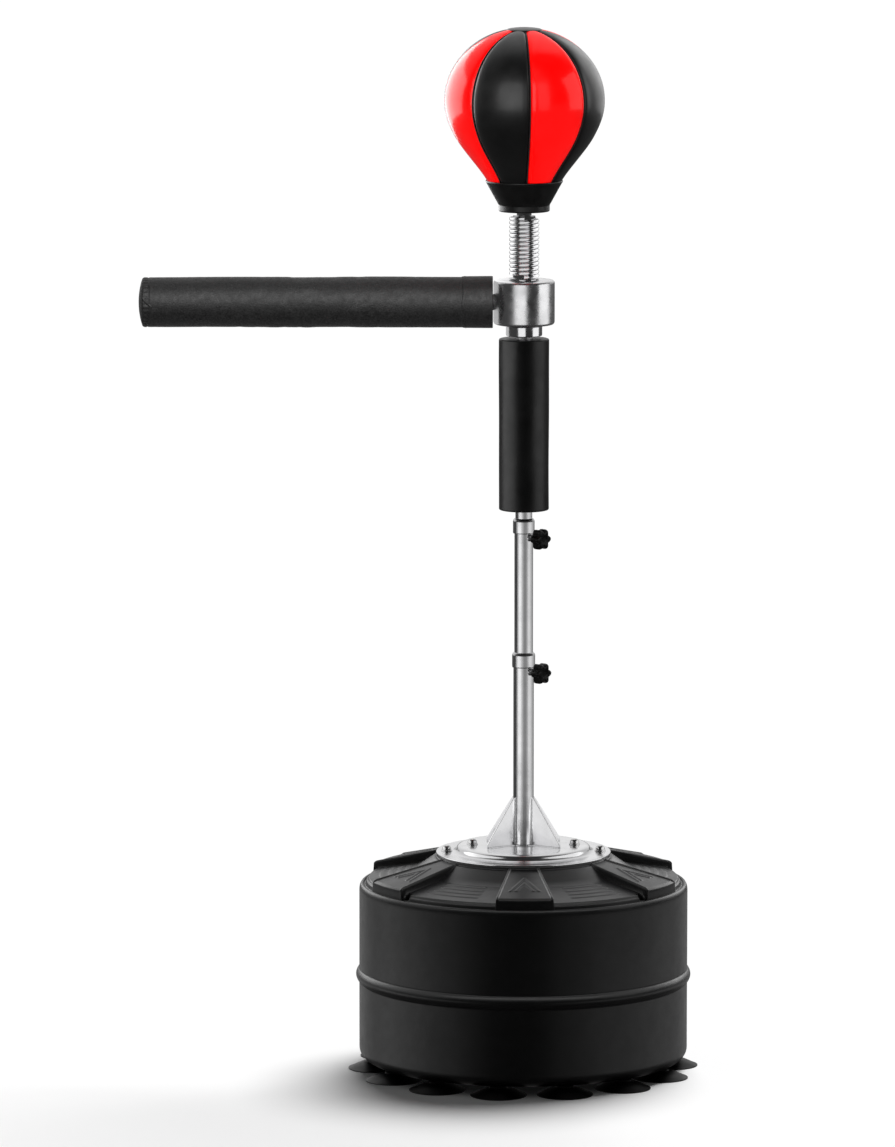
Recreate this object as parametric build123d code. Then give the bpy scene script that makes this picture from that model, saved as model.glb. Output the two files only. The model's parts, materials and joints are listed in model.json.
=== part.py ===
from build123d import *
import os
from math import atan2, cos, radians, sin, sqrt

# A free-standing speed ball trainer: a fillable base on suction cups, a telescopic pole,
# a padded bar that spins on the pole's spindle, and a ball on a stiff coil spring.
# Millimetres. The origin is on the pole's axis at floor level, +Z up. -Y is the front.

os.makedirs("parts", exist_ok=True)

# ---- driving dimensions ----
BASE_R = 225.0  # tank barrel
TANK_BOTTOM = 14.0
TANK_WALL = 5.0
BOTTOM_ROUND = 16.0
RIB_Z = 131.0  # moulded half-round band
RIB_OUT = 4.5
RIB_HALF = 9.0
BARREL_TOP = 248.0
LIP_R = 221.0  # bead along the top of the barrel
LIP_Z = 257.5
GROOVE_R = 217.5  # inside the bead
GROOVE_Z = 256.0
SHOULDER_Z = 262.0
BOSS_R = 118.0  # flat the plate sits on
BOSS_Z = 298.5
SECTORS = 6
SECTOR_HALF_DEG = 10.4
SECTOR_R = 219.0
SECTOR_Z_IN = 295.6  # at the boss
SECTOR_Z_OUT = 272.0
POCKET_R = 212.0
POCKET_Z_OUT = 265.0
RAMP_R = 146.0  # each pocket's steep inner end stops here
RAMP_Z = 277.5
RAMP_TOP_R = 122.0
RAMP_TOP_Z = 294.0
RIM_WIDTH = 4.0
RIM_UP = 1.5
CHEVRON_APEXES = (146.0, 162.0)
CHEVRON_END_R = 192.0
CHEVRON_SPREAD = 0.478  # half width gained per length
CHEVRON_BAR = 4.2
CHEVRON_UP = 1.0

CUPS = 14
CUP_CIRCLE_R = 202.0
CUP_R = 38.3
CUP_FIRST_DEG = 2.86  # from the front towards +X
CUP_NECK_R = 12.0
CUP_STEM_R = 9.0
CUP_STEM_UP = 9.0

PLATE_R = 120.0
PLATE_T = 2.5
DISC_R = 89.0  # raised middle of the plate
DISC_TOP = 310.0
STEP_R = 97.0
BOLT_SPOTS = ((90, 105.0), (-90, 105.0), (90, 70.0), (-90, 70.0))  # from the front towards +X, and radius
BOLT_R = 4.0
BOLT_HEAD_R = 6.4
BOLT_HEAD_UP = 7.0
BOLT_DEEP = 13.0
WASHER_R = 7.6
WASHER_T = 1.5
INSERT_R = 7.0
INSERT_DEEP = 18.0

FILLER_R = 165.0  # filler's distance from the pole
FILLER_DEG = 150.0  # from the front towards +X, so at the back
WELL_R = 35.0
WELL_Z = 262.0
NECK_R = 25.0
NECK_BORE_R = 20.0
NECK_TOP = 277.0
CAP_R = 30.0
CAP_BOTTOM = 264.0
CAP_TOP = 283.0
SEAL_T = 1.6

GUSSET_DEGS = (58, 122, 238, 302)  # from the front towards +X
GUSSET_FOOT_R = 59.0
GUSSET_TOP_R = 17.0
GUSSET_TOP = 375.6
GUSSET_T = 3.0

LOWER_TUBE_R = 14.0
LOWER_TUBE_BORE = 13.0
LOWER_TUBE_TOP = 573.0
LOWER_FERRULE_Z = 555.7
LOWER_FERRULE_R = 15.75
FERRULE_LENGTH = 20.7
MIDDLE_TUBE_R = 12.75
MIDDLE_TUBE_BORE = 11.75
MIDDLE_TUBE_Z = 454.0
MIDDLE_TUBE_TOP = 757.6
UPPER_FERRULE_Z = 740.3
UPPER_FERRULE_R = 14.75
UPPER_TUBE_R = 11.5
UPPER_TUBE_BORE = 10.5
UPPER_TUBE_Z = 482.0
UPPER_TUBE_TOP = 1011.2
GLIDE_FLANGE = 4.0
GLIDE_PLUG = 10.0
RUNNING = 0.05  # radial clearance of everything that slides or turns in a bore

LOWER_KNOB_Z = 550.2
UPPER_KNOB_Z = 734.8
KNOB_DEG = -45.0  # both knobs point between +X and the front
SCREW_R = 3.0  # M6, 1 mm pitch
SCREW_LENGTH = 23.0
WELD_NUT_R = 5.0
WELD_NUT_LENGTH = 11.0
KNOB_STANDOFF = 13.0  # tube surface to the knob's near face
KNOB_T = 14.0
KNOB_R = 15.0
KNOB_LOBES = 6

PAD_Z = 772.7
PAD_TOP = 1007.1
PAD_R = 34.3

RING_TOP = 1024.9
RING_R = 24.75
SPINDLE_R = 7.5
SPINDLE_TOP = 1112.0
RACE_BOSS_R = 10.5
HUB_R = 41.7
HUB_Z = 1026.6
HUB_TOP = 1087.1
HUB_ROUND = 5.0
BEARING_R = 17.5
BEARING_W = 11.0
LOWER_BEARING_Z = 1030.0
UPPER_BEARING_Z = 1072.0
RACE_INNER_R = 11.0
RACE_OUTER_R = 14.0
BEARING_BALL_R = 3.2
BEARING_BALLS = 8

BAR_Z = 1057.0
BAR_NEAR = 42.6  # the bar runs from here towards -X
BAR_FAR = 523.5
BAR_R = 34.5
BAR_END_BULGE = 5.0
COVER_T = 1.5
CUFF_LENGTH = 41.4
CUFF_T = 1.0
BAR_TUBE_R = 11.0
BAR_TUBE_BORE = 9.5
BAR_TUBE_NEAR = 21.0
BAR_TUBE_FAR = 496.0

SEAT_Z = 1087.6
SPRING_Z = 1089.7
SPRING_TOP = 1174.9
SPRING_R = 20.5
WIRE_R = 2.6
SPRING_TURNS = 14
SPIGOT_R = 15.2
SPIGOT_UP = 11.0
STUD_R = 10.0
STUD_TOP = 1203.0

NECK_LIP_Z = 1181.0
NECK_LIP_TOP = 1191.0
NECK_LIP_R = 34.8
NECK_RIM_Z = 1223.2
NECK_RIM_R = 52.8
NECK_WALL = 3.0
BALL_R = 109.2
BALL_MID_Z = 1331.9
BALL_TOP = 1429.8
BALL_SHELL = 3.0
BALL_FOOT_Z = 1199.0
FOOT_R = 36.4
FOOT_TAPER = 0.62  # radius gained per height
CHEEK_R = 94.7  # a point on the ball's tapering side
CHEEK_Z = 1282.9
PANELS = 8
PANEL_FIRST_DEG = 3.8  # one seam, from the front towards +X
SEAM_GAP_DEG = 0.1
TOP_HOLE_R = 9.0
TOP_DISC_R = 24.0
TOP_DISC_T = 1.0
NEEDLE_R = 1.2
VALVE_R = 4.0
BLADDER_GAP = 0.6
BLADDER_T = 1.2


# ---- helpers ----
def spot(radius, front_deg, z=0.0):
    """A place on a circle round the pole, at an angle from the front towards +X."""
    angle = radians(front_deg)
    return (radius * sin(angle), -radius * cos(angle), z)


def lathe(*points):
    """A solid turned round the pole's axis from an outline of (radius, height) points."""
    outline = Polyline(*[(r, 0, z) for r, z in points], close=True)
    return revolve(make_face(outline), Axis.Z)


def tube(outer, inner, bottom, top):
    return lathe((inner, bottom), (outer, bottom), (outer, top), (inner, top))


def dome_arc(radius, foot_z, rise):
    """An arc from (radius, foot_z) to the axis, part of a circle centred on the axis."""
    sphere_r = (radius * radius + rise * rise) / (2 * rise)
    centre_z = foot_z + rise - sphere_r
    half_way = atan2(radius, foot_z - centre_z) / 2
    middle = (sphere_r * sin(half_way), 0, centre_z + sphere_r * cos(half_way))
    return ThreePointArc((radius, 0, foot_z), middle, (0, 0, foot_z + rise))


def rod(radius, bottom, top, place=(0, 0, 0)):
    x, y, _ = place
    return Pos(x, y, bottom) * Cylinder(radius, top - bottom, align=(Align.CENTER, Align.CENTER, Align.MIN))


def along_x(shape):
    """Turns something built along +Z from the origin to run along -X at the bar's height."""
    return Pos(0, 0, BAR_Z) * Rot(0, -90, 0) * shape


def knob_frame(z):
    """+Z of this frame points out of the pole along the clamp screw."""
    return Pos(0, 0, z) * Rot(0, 0, KNOB_DEG) * Rot(0, 90, 0)


def save(shape, name):
    shape.label = name
    export_step(shape, f"parts/{name}.step")


# ---- base ----
def slope_z(radius, z_in, z_out, r_out):
    return z_in + (z_out - z_in) * (radius - BOSS_R) / (r_out - BOSS_R)


def tank_outside():
    foot = (BASE_R - BOTTOM_ROUND, 0, TANK_BOTTOM)
    barrel = (BASE_R, 0, TANK_BOTTOM + BOTTOM_ROUND)
    rib_low = (BASE_R, 0, RIB_Z - RIB_HALF)
    rib_high = (BASE_R, 0, RIB_Z + RIB_HALF)
    top = (BASE_R, 0, BARREL_TOP)
    lip = (LIP_R, 0, LIP_Z)
    soft = 1 - cos(radians(45))
    outline = [
        Line((0, 0, TANK_BOTTOM), foot),
        ThreePointArc(
            foot,
            (BASE_R - BOTTOM_ROUND * soft, 0, TANK_BOTTOM + BOTTOM_ROUND * soft),
            barrel,
        ),
        Line(barrel, rib_low),
        ThreePointArc(rib_low, (BASE_R + RIB_OUT, 0, RIB_Z), rib_high),
        Line(rib_high, top),
        ThreePointArc(top, (BASE_R - 1.2, 0, (BARREL_TOP + LIP_Z) / 2 + 1.2), lip),
        Line(lip, (GROOVE_R, 0, GROOVE_Z)),
        Line((GROOVE_R, 0, GROOVE_Z), (POCKET_R + 2, 0, SHOULDER_Z)),
        Line((POCKET_R + 2, 0, SHOULDER_Z), (POCKET_R, 0, POCKET_Z_OUT)),
        Line((POCKET_R, 0, POCKET_Z_OUT), (RAMP_R, 0, RAMP_Z)),
        Line((RAMP_R, 0, RAMP_Z), (RAMP_TOP_R, 0, RAMP_TOP_Z)),
        Line((RAMP_TOP_R, 0, RAMP_TOP_Z), (BOSS_R, 0, RAMP_TOP_Z)),
        Line((BOSS_R, 0, RAMP_TOP_Z), (BOSS_R, 0, BOSS_Z)),
        Line((BOSS_R, 0, BOSS_Z), (0, 0, BOSS_Z)),
        Line((0, 0, BOSS_Z), (0, 0, TANK_BOTTOM)),
    ]
    return revolve(make_face(Wire(outline)), Axis.Z)


def wedge(points, half_deg, front_deg):
    """An outline of (radius, height) points swept round the pole over a few degrees."""
    outline = Polyline(*[(r, 0, z) for r, z in points], close=True)
    start = Rot(0, 0, front_deg - 90 - half_deg) * make_face(outline)
    return revolve(start, Axis.Z, 2 * half_deg)


def sector(front_deg):
    """One raised spoke of the tank's top, with a rim down each side and two chevrons."""
    deep = SHOULDER_Z - 8
    spoke = wedge(
        [
            (BOSS_R - 4, deep),
            (SECTOR_R + 1, deep),
            (SECTOR_R, SECTOR_Z_OUT),
            (BOSS_R - 4, slope_z(BOSS_R - 4, SECTOR_Z_IN, SECTOR_Z_OUT, SECTOR_R)),
        ],
        SECTOR_HALF_DEG,
        front_deg,
    )
    near = BOSS_R - 3
    z_near = slope_z(near, SECTOR_Z_IN, SECTOR_Z_OUT, SECTOR_R)
    rim = wedge(
        [
            (near, z_near - 3),
            (SECTOR_R, SECTOR_Z_OUT - 3),
            (SECTOR_R, SECTOR_Z_OUT + RIM_UP),
            (near, z_near + RIM_UP),
        ],
        SECTOR_HALF_DEG,
        front_deg,
    )
    half_width = SECTOR_R * sin(radians(SECTOR_HALF_DEG)) - RIM_WIDTH
    inner_half = BOSS_R * sin(radians(SECTOR_HALF_DEG)) - RIM_WIDTH
    window = extrude(
        Plane.XY.offset(SHOULDER_Z)
        * make_face(
            Polyline(
                (-inner_half, -(BOSS_R - 4)),
                (inner_half, -(BOSS_R - 4)),
                (half_width, -(SECTOR_R - RIM_WIDTH)),
                (-half_width, -(SECTOR_R - RIM_WIDTH)),
                close=True,
            )
        ),
        60,
    )
    rim -= Rot(0, 0, front_deg) * window
    return spoke + rim


def chevrons(front_deg):
    """Two raised V bars down a spoke, one inside the other, pointing at the pole."""
    bars = None
    for apex in CHEVRON_APEXES:
        reach = (CHEVRON_END_R - apex) * CHEVRON_SPREAD
        inner_reach = reach - CHEVRON_BAR
        outline = Polyline(
            (-reach, -CHEVRON_END_R),
            (0, -apex),
            (reach, -CHEVRON_END_R),
            (inner_reach, -CHEVRON_END_R),
            (0, -(CHEVRON_END_R - inner_reach / CHEVRON_SPREAD)),
            (-inner_reach, -CHEVRON_END_R),
            close=True,
        )
        blank = extrude(Plane.XY.offset(SHOULDER_Z) * make_face(outline), 40)
        layer = wedge(
            [
                (BOSS_R, slope_z(BOSS_R, SECTOR_Z_IN, SECTOR_Z_OUT, SECTOR_R) - 2),
                (SECTOR_R, SECTOR_Z_OUT - 2),
                (SECTOR_R, SECTOR_Z_OUT + CHEVRON_UP),
                (BOSS_R, slope_z(BOSS_R, SECTOR_Z_IN, SECTOR_Z_OUT, SECTOR_R) + CHEVRON_UP),
            ],
            SECTOR_HALF_DEG,
            0,
        )
        bar = Rot(0, 0, front_deg) * (blank & layer)
        bars = bar if bars is None else bars + bar
    return bars


def tank_inside():
    """The space for water or sand, one wall thickness inside the tank."""
    r = BASE_R - TANK_WALL
    low = TANK_BOTTOM + TANK_WALL
    return lathe(
        (0, low),
        (r - 12, low),
        (r, low + 12),
        (r, BARREL_TOP - 8),
        (r - 6, BARREL_TOP + 2),
        (POCKET_R - 5, POCKET_Z_OUT - 7.5),
        (RAMP_R - 2, RAMP_Z - 6.5),
        (BOSS_R, RAMP_TOP_Z - TANK_WALL),
        (BOSS_R - 10, BOSS_Z - 8),
        (0, BOSS_Z - 8),
    )


def base_tank():
    outside = tank_outside()
    tank = outside
    for k in range(SECTORS):
        tank += sector(k * 360 / SECTORS)
        tank += chevrons(k * 360 / SECTORS)
    tank -= tank_inside()
    for k in range(CUPS):
        place = spot(CUP_CIRCLE_R, CUP_FIRST_DEG - 180 / CUPS + k * 360 / CUPS)
        tank += rod(CUP_STEM_R + 5, TANK_BOTTOM, TANK_BOTTOM + CUP_STEM_UP + 6, place)
        tank -= rod(CUP_STEM_R + 0.1, TANK_BOTTOM - 1, TANK_BOTTOM + CUP_STEM_UP + 0.5, place)
    for front_deg, circle_r in BOLT_SPOTS:
        place = spot(circle_r, front_deg)
        tank += rod(INSERT_R + 5, BOSS_Z - INSERT_DEEP - 6, BOSS_Z, place)
        tank -= rod(INSERT_R, BOSS_Z - INSERT_DEEP, BOSS_Z + 1, place)
    filler = spot(FILLER_R, FILLER_DEG)
    tank += rod(WELL_R + TANK_WALL, WELL_Z - TANK_WALL, BOSS_Z, filler) & outside
    tank -= rod(WELL_R, WELL_Z, BOSS_Z, filler)
    tank += rod(NECK_R, WELL_Z - 18, NECK_TOP, filler)
    tank -= rod(NECK_BORE_R, WELL_Z - 20, NECK_TOP + 1, filler)
    return tank


def suction_cup(front_deg):
    """A soft umbrella on a neck, with a barbed stem that presses into the tank's floor."""
    stem_top = TANK_BOTTOM + CUP_STEM_UP
    outline = Wire(
        [
            Line((0, 0, 6.5), (10, 0, 6.2)),
            ThreePointArc((10, 0, 6.2), (25, 0, 3.4), (34, 0, 0)),
            Line((34, 0, 0), (CUP_R, 0, 0)),
            Line((CUP_R, 0, 0), (CUP_R, 0, 1.6)),
            ThreePointArc((CUP_R, 0, 1.6), (27, 0, 6.6), (CUP_NECK_R + 1.5, 0, 10.0)),
            Line((CUP_NECK_R + 1.5, 0, 10.0), (CUP_NECK_R, 0, 11.5)),
            Line((CUP_NECK_R, 0, 11.5), (CUP_NECK_R, 0, TANK_BOTTOM)),
            Line((CUP_NECK_R, 0, TANK_BOTTOM), (CUP_STEM_R, 0, TANK_BOTTOM)),
            Line((CUP_STEM_R, 0, TANK_BOTTOM), (CUP_STEM_R, 0, stem_top - 2)),
            Line((CUP_STEM_R, 0, stem_top - 2), (CUP_STEM_R - 2, 0, stem_top)),
            Line((CUP_STEM_R - 2, 0, stem_top), (0, 0, stem_top)),
            Line((0, 0, stem_top), (0, 0, 6.5)),
        ]
    )
    x, y, _ = spot(CUP_CIRCLE_R, front_deg)
    return Pos(x, y, 0) * revolve(make_face(outline), Axis.Z)


def mounting_plate():
    """A pressed steel disc: a flat ring for the bolts and a dished-up middle for the pole."""
    ring_top = BOSS_Z + PLATE_T
    rise = DISC_TOP - ring_top
    middle = (DISC_R + STEP_R) / 2
    outline = Wire(
        [
            Line((0, 0, DISC_TOP), (DISC_R - 2, 0, DISC_TOP)),
            Spline(
                (DISC_R - 2, 0, DISC_TOP),
                (middle, 0, ring_top + rise / 2),
                (STEP_R, 0, ring_top),
                tangents=((1, 0, 0), (1, 0, 0)),
            ),
            Line((STEP_R, 0, ring_top), (PLATE_R - PLATE_T / 2, 0, ring_top)),
            ThreePointArc(
                (PLATE_R - PLATE_T / 2, 0, ring_top),
                (PLATE_R, 0, ring_top - PLATE_T / 2),
                (PLATE_R - PLATE_T / 2, 0, BOSS_Z),
            ),
            Line((PLATE_R - PLATE_T / 2, 0, BOSS_Z), (STEP_R - 2, 0, BOSS_Z)),
            Line((STEP_R - 2, 0, BOSS_Z), (DISC_R - 4, 0, DISC_TOP - PLATE_T)),
            Line((DISC_R - 4, 0, DISC_TOP - PLATE_T), (0, 0, DISC_TOP - PLATE_T)),
            Line((0, 0, DISC_TOP - PLATE_T), (0, 0, DISC_TOP)),
        ]
    )
    plate = revolve(make_face(outline), Axis.Z)
    for front_deg, circle_r in BOLT_SPOTS:
        plate -= rod(BOLT_R + 0.5, BOSS_Z - 1, DISC_TOP + 1, spot(circle_r, front_deg))
    return plate


def gusset(front_deg):
    """A thin triangular fin welded to the plate and the lower tube."""
    outline = Wire(
        [
            Line((LOWER_TUBE_R - 4, 0, DISC_TOP), (GUSSET_FOOT_R, 0, DISC_TOP)),
            Line((GUSSET_FOOT_R, 0, DISC_TOP), (GUSSET_FOOT_R, 0, DISC_TOP + 4)),
            Line((GUSSET_FOOT_R, 0, DISC_TOP + 4), (GUSSET_TOP_R, 0, GUSSET_TOP)),
            Line((GUSSET_TOP_R, 0, GUSSET_TOP), (LOWER_TUBE_R - 4, 0, GUSSET_TOP)),
            Line((LOWER_TUBE_R - 4, 0, GUSSET_TOP), (LOWER_TUBE_R - 4, 0, DISC_TOP)),
        ]
    )
    fin = extrude(make_face(outline), GUSSET_T / 2, both=True)
    fin -= rod(LOWER_TUBE_R, DISC_TOP - 1, GUSSET_TOP + 1)
    return Rot(0, 0, front_deg - 90) * fin


def plate_face(circle_r):
    """Height of the plate's upper face at a radius: the raised middle or the flat ring."""
    return DISC_TOP if circle_r < DISC_R else BOSS_Z + PLATE_T


def plate_bolt(front_deg, circle_r):
    """A domed bolt head on a plain shank that reaches its bush in the tank."""
    seat = plate_face(circle_r) + WASHER_T
    foot = BOSS_Z - BOLT_DEEP
    dome = Wire(
        [
            Line((0, 0, foot), (BOLT_R, 0, foot)),
            Line((BOLT_R, 0, foot), (BOLT_R, 0, seat)),
            Line((BOLT_R, 0, seat), (BOLT_HEAD_R, 0, seat)),
            Line((BOLT_HEAD_R, 0, seat), (BOLT_HEAD_R, 0, seat + 1)),
            dome_arc(BOLT_HEAD_R, seat + 1, BOLT_HEAD_UP - 1),
            Line((0, 0, seat + BOLT_HEAD_UP), (0, 0, foot)),
        ]
    )
    x, y, _ = spot(circle_r, front_deg)
    return Pos(x, y, 0) * revolve(make_face(dome), Axis.Z)


def plate_washer(front_deg, circle_r):
    x, y, _ = spot(circle_r, front_deg)
    low = plate_face(circle_r)
    return Pos(x, y, 0) * tube(WASHER_R, BOLT_R + 0.3, low, low + WASHER_T)


def tank_insert(front_deg, circle_r):
    """A blind threaded bush moulded into the tank under each plate bolt."""
    x, y, _ = spot(circle_r, front_deg)
    low = BOSS_Z - INSERT_DEEP
    bush = rod(INSERT_R, low, BOSS_Z) - rod(BOLT_R + 0.1, low + 2, BOSS_Z + 1)
    return Pos(x, y, 0) * bush


def at_bolts(make):
    return Compound(children=[make(*place) for place in BOLT_SPOTS])


# ---- filler ----
def filler_cap():
    """A ribbed screw cap that covers the filler neck from outside."""
    x, y, _ = spot(FILLER_R, FILLER_DEG)
    cap = rod(CAP_R, CAP_BOTTOM, CAP_TOP)
    top_edges = cap.edges().group_by(Axis.Z)[-1]
    cap = fillet(top_edges, 2)
    cap -= rod(NECK_R + RUNNING, CAP_BOTTOM - 1, NECK_TOP + SEAL_T + RUNNING)
    ribs = 12
    for k in range(ribs):
        angle = radians(k * 360 / ribs)
        scallop = rod(2.2, CAP_BOTTOM - 1, CAP_TOP - 3, ((CAP_R + 0.9) * cos(angle), (CAP_R + 0.9) * sin(angle), 0))
        cap -= scallop
    grip = Pos(0, 0, CAP_TOP + 1) * Box(36, 6, 10, align=(Align.CENTER, Align.CENTER, Align.MAX))
    slot = Pos(0, 0, CAP_TOP + 1) * Box(30, 3, 4, align=(Align.CENTER, Align.CENTER, Align.MAX))
    cap += grip & rod(CAP_R, CAP_TOP - 5, CAP_TOP)
    cap -= slot
    return Pos(x, y, 0) * cap


def filler_seal():
    x, y, _ = spot(FILLER_R, FILLER_DEG)
    return Pos(x, y, 0) * tube(NECK_R - 0.5, NECK_BORE_R + 0.5, NECK_TOP, NECK_TOP + SEAL_T)


# ---- pole ----
def clamp_hole(z):
    return knob_frame(z) * rod(SCREW_R + 0.3, 5, 30)


def lower_tube():
    return tube(LOWER_TUBE_R, LOWER_TUBE_BORE, DISC_TOP, LOWER_TUBE_TOP) - clamp_hole(LOWER_KNOB_Z)


def middle_tube():
    return tube(MIDDLE_TUBE_R, MIDDLE_TUBE_BORE, MIDDLE_TUBE_Z, MIDDLE_TUBE_TOP) - clamp_hole(UPPER_KNOB_Z)


def upper_tube():
    return tube(UPPER_TUBE_R, UPPER_TUBE_BORE, UPPER_TUBE_Z, UPPER_TUBE_TOP)


def ferrule(outer, tube_r, tube_top, inner_tube_r, bottom):
    """A sleeve over a tube's mouth, with a lip that guides the tube inside it."""
    top = bottom + FERRULE_LENGTH
    return lathe(
        (tube_r, bottom),
        (outer - 0.6, bottom),
        (outer, bottom + 0.6),
        (outer, top - 2.5),
        (outer - 1.5, top),
        (inner_tube_r + RUNNING, top),
        (inner_tube_r + RUNNING, tube_top),
        (tube_r, tube_top),
    )


def glide(bottom, bore, outer_bore):
    """A plastic end plug whose flange slides in the tube outside it."""
    return lathe(
        (bore - 4, bottom - GLIDE_FLANGE),
        (outer_bore - RUNNING, bottom - GLIDE_FLANGE),
        (outer_bore - RUNNING, bottom),
        (bore, bottom),
        (bore, bottom + GLIDE_PLUG),
        (bore - 4, bottom + GLIDE_PLUG),
    )


def weld_nut(tube_r, z):
    nut = knob_frame(z) * (
        rod(WELD_NUT_R, tube_r - 2, tube_r + WELD_NUT_LENGTH)
        - rod(SCREW_R + RUNNING, 0, tube_r + WELD_NUT_LENGTH + 1)
    )
    return nut - rod(tube_r, z - 20, z + 20)


def clamp_screw(inner_tube_r, z):
    start = inner_tube_r + RUNNING
    return knob_frame(z) * rod(SCREW_R, start, start + SCREW_LENGTH)


def star_knob(tube_r, inner_tube_r, z):
    """A six-lobed hand knob with a short boss towards the pole."""
    near = tube_r + KNOB_STANDOFF
    body = rod(KNOB_R - 1.6, near, near + KNOB_T)
    body = fillet(body.edges().group_by(Axis.Z)[-1], 3.0)
    for k in range(KNOB_LOBES):
        angle = radians((k + 0.5) * 360 / KNOB_LOBES)
        reach = KNOB_R + 3.4
        body -= rod(6.2, near - 1, near + KNOB_T + 1, (reach * cos(angle), reach * sin(angle), 0))
    body += rod(7.0, near - 1.2, near + 1)
    screw_end = inner_tube_r + RUNNING + SCREW_LENGTH
    body -= rod(SCREW_R + RUNNING, near - 3, screw_end + 0.3)
    return knob_frame(z) * body


# ---- soft sleeve and spindle ----
def pole_pad():
    pad = tube(PAD_R, UPPER_TUBE_R, PAD_Z, PAD_TOP)
    rims = [e for e in pad.edges().filter_by(GeomType.CIRCLE) if abs(e.radius - PAD_R) < 0.01]
    return fillet(rims, 3.0)


def spindle():
    return lathe(
        (0, UPPER_TUBE_TOP - 45),
        (UPPER_TUBE_BORE, UPPER_TUBE_TOP - 45),
        (UPPER_TUBE_BORE, UPPER_TUBE_TOP),
        (SPINDLE_R, UPPER_TUBE_TOP),
        (SPINDLE_R, SPINDLE_TOP - 1.5),
        (SPINDLE_R - 1.5, SPINDLE_TOP),
        (0, SPINDLE_TOP),
    )


def support_ring():
    """The collar under the hub, with a boss that carries the lower bearing's inner race."""
    return lathe(
        (SPINDLE_R, UPPER_TUBE_TOP),
        (RING_R - 1.5, UPPER_TUBE_TOP),
        (RING_R, UPPER_TUBE_TOP + 1.5),
        (RING_R, RING_TOP - 1.5),
        (RING_R - 1.5, RING_TOP),
        (RACE_BOSS_R, RING_TOP),
        (RACE_BOSS_R, LOWER_BEARING_Z),
        (SPINDLE_R, LOWER_BEARING_Z),
    )


def ball_track(z):
    """The groove that the bearing balls run in."""
    pitch_r = (RACE_INNER_R + RACE_OUTER_R) / 2
    return Pos(0, 0, z + BEARING_W / 2) * Torus(pitch_r, BEARING_BALL_R + RUNNING)


def both_bearings(make):
    return Compound(children=[make(z) for z in (LOWER_BEARING_Z, UPPER_BEARING_Z)])


def inner_race(z):
    return tube(RACE_INNER_R, SPINDLE_R, z, z + BEARING_W) - ball_track(z)


def outer_race(z):
    return tube(BEARING_R, RACE_OUTER_R, z, z + BEARING_W) - ball_track(z)


def bearing_balls():
    pitch_r = (RACE_INNER_R + RACE_OUTER_R) / 2
    balls = []
    for z in (LOWER_BEARING_Z, UPPER_BEARING_Z):
        for k in range(BEARING_BALLS):
            x, y, _ = spot(pitch_r, k * 360 / BEARING_BALLS)
            balls.append(Pos(x, y, z + BEARING_W / 2) * Sphere(BEARING_BALL_R))
    return Compound(children=balls)


# ---- spinning bar ----
def hub():
    body = rod(HUB_R, HUB_Z, HUB_TOP)
    body = fillet(body.edges().filter_by(GeomType.CIRCLE), HUB_ROUND)
    body -= rod(RACE_OUTER_R + 1, HUB_Z - 1, HUB_TOP + 1)
    body -= rod(BEARING_R, HUB_Z - 1, LOWER_BEARING_Z + BEARING_W)
    body -= rod(BEARING_R, UPPER_BEARING_Z, HUB_TOP + 1)
    body -= along_x(rod(BAR_TUBE_R, BAR_TUBE_NEAR, HUB_R + 5))
    return body


def bar_tube():
    return along_x(tube(BAR_TUBE_R, BAR_TUBE_BORE, BAR_TUBE_NEAR, BAR_TUBE_FAR))


def bar_foam():
    r = BAR_R - COVER_T
    return along_x(tube(r, BAR_TUBE_R, BAR_NEAR, BAR_TUBE_FAR) + rod(r, BAR_TUBE_FAR, BAR_FAR - BAR_END_BULGE - COVER_T))


def bar_cover():
    """The sewn sleeve over the foam, closed by a slightly domed end."""
    seam = BAR_FAR - BAR_END_BULGE
    r = BAR_R - COVER_T
    outline = Wire(
        [
            Line((BAR_R, 0, BAR_NEAR), (BAR_R, 0, seam - 2)),
            ThreePointArc((BAR_R, 0, seam - 2), (BAR_R - 0.6, 0, seam - 0.6), (BAR_R - 2, 0, seam)),
            dome_arc(BAR_R - 2, seam, BAR_END_BULGE),
            Line((0, 0, BAR_FAR), (0, 0, seam - COVER_T)),
            Line((0, 0, seam - COVER_T), (r, 0, seam - COVER_T)),
            Line((r, 0, seam - COVER_T), (r, 0, BAR_NEAR)),
            Line((r, 0, BAR_NEAR), (BAR_R, 0, BAR_NEAR)),
        ]
    )
    return along_x(revolve(make_face(outline), Axis.Z))


def bar_cuff():
    return along_x(tube(BAR_R + CUFF_T, BAR_R, BAR_NEAR, BAR_NEAR + CUFF_LENGTH))


# ---- ball on its spring ----
def spring_lower_seat():
    return lathe(
        (SPINDLE_R, UPPER_BEARING_Z + BEARING_W),
        (RACE_BOSS_R, UPPER_BEARING_Z + BEARING_W),
        (RACE_BOSS_R, SEAT_Z),
        (SPRING_R, SEAT_Z),
        (SPRING_R, SPRING_Z),
        (SPIGOT_R, SPRING_Z),
        (SPIGOT_R, SPRING_Z + SPIGOT_UP - 2),
        (SPIGOT_R - 2, SPRING_Z + SPIGOT_UP),
        (SPINDLE_R, SPRING_Z + SPIGOT_UP),
    )


def spindle_nut():
    low = SPRING_Z + SPIGOT_UP
    blank = extrude(Plane.XY.offset(low) * RegularPolygon(13, 6), 8)
    return blank - rod(SPINDLE_R, low - 1, low + 9)


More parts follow.
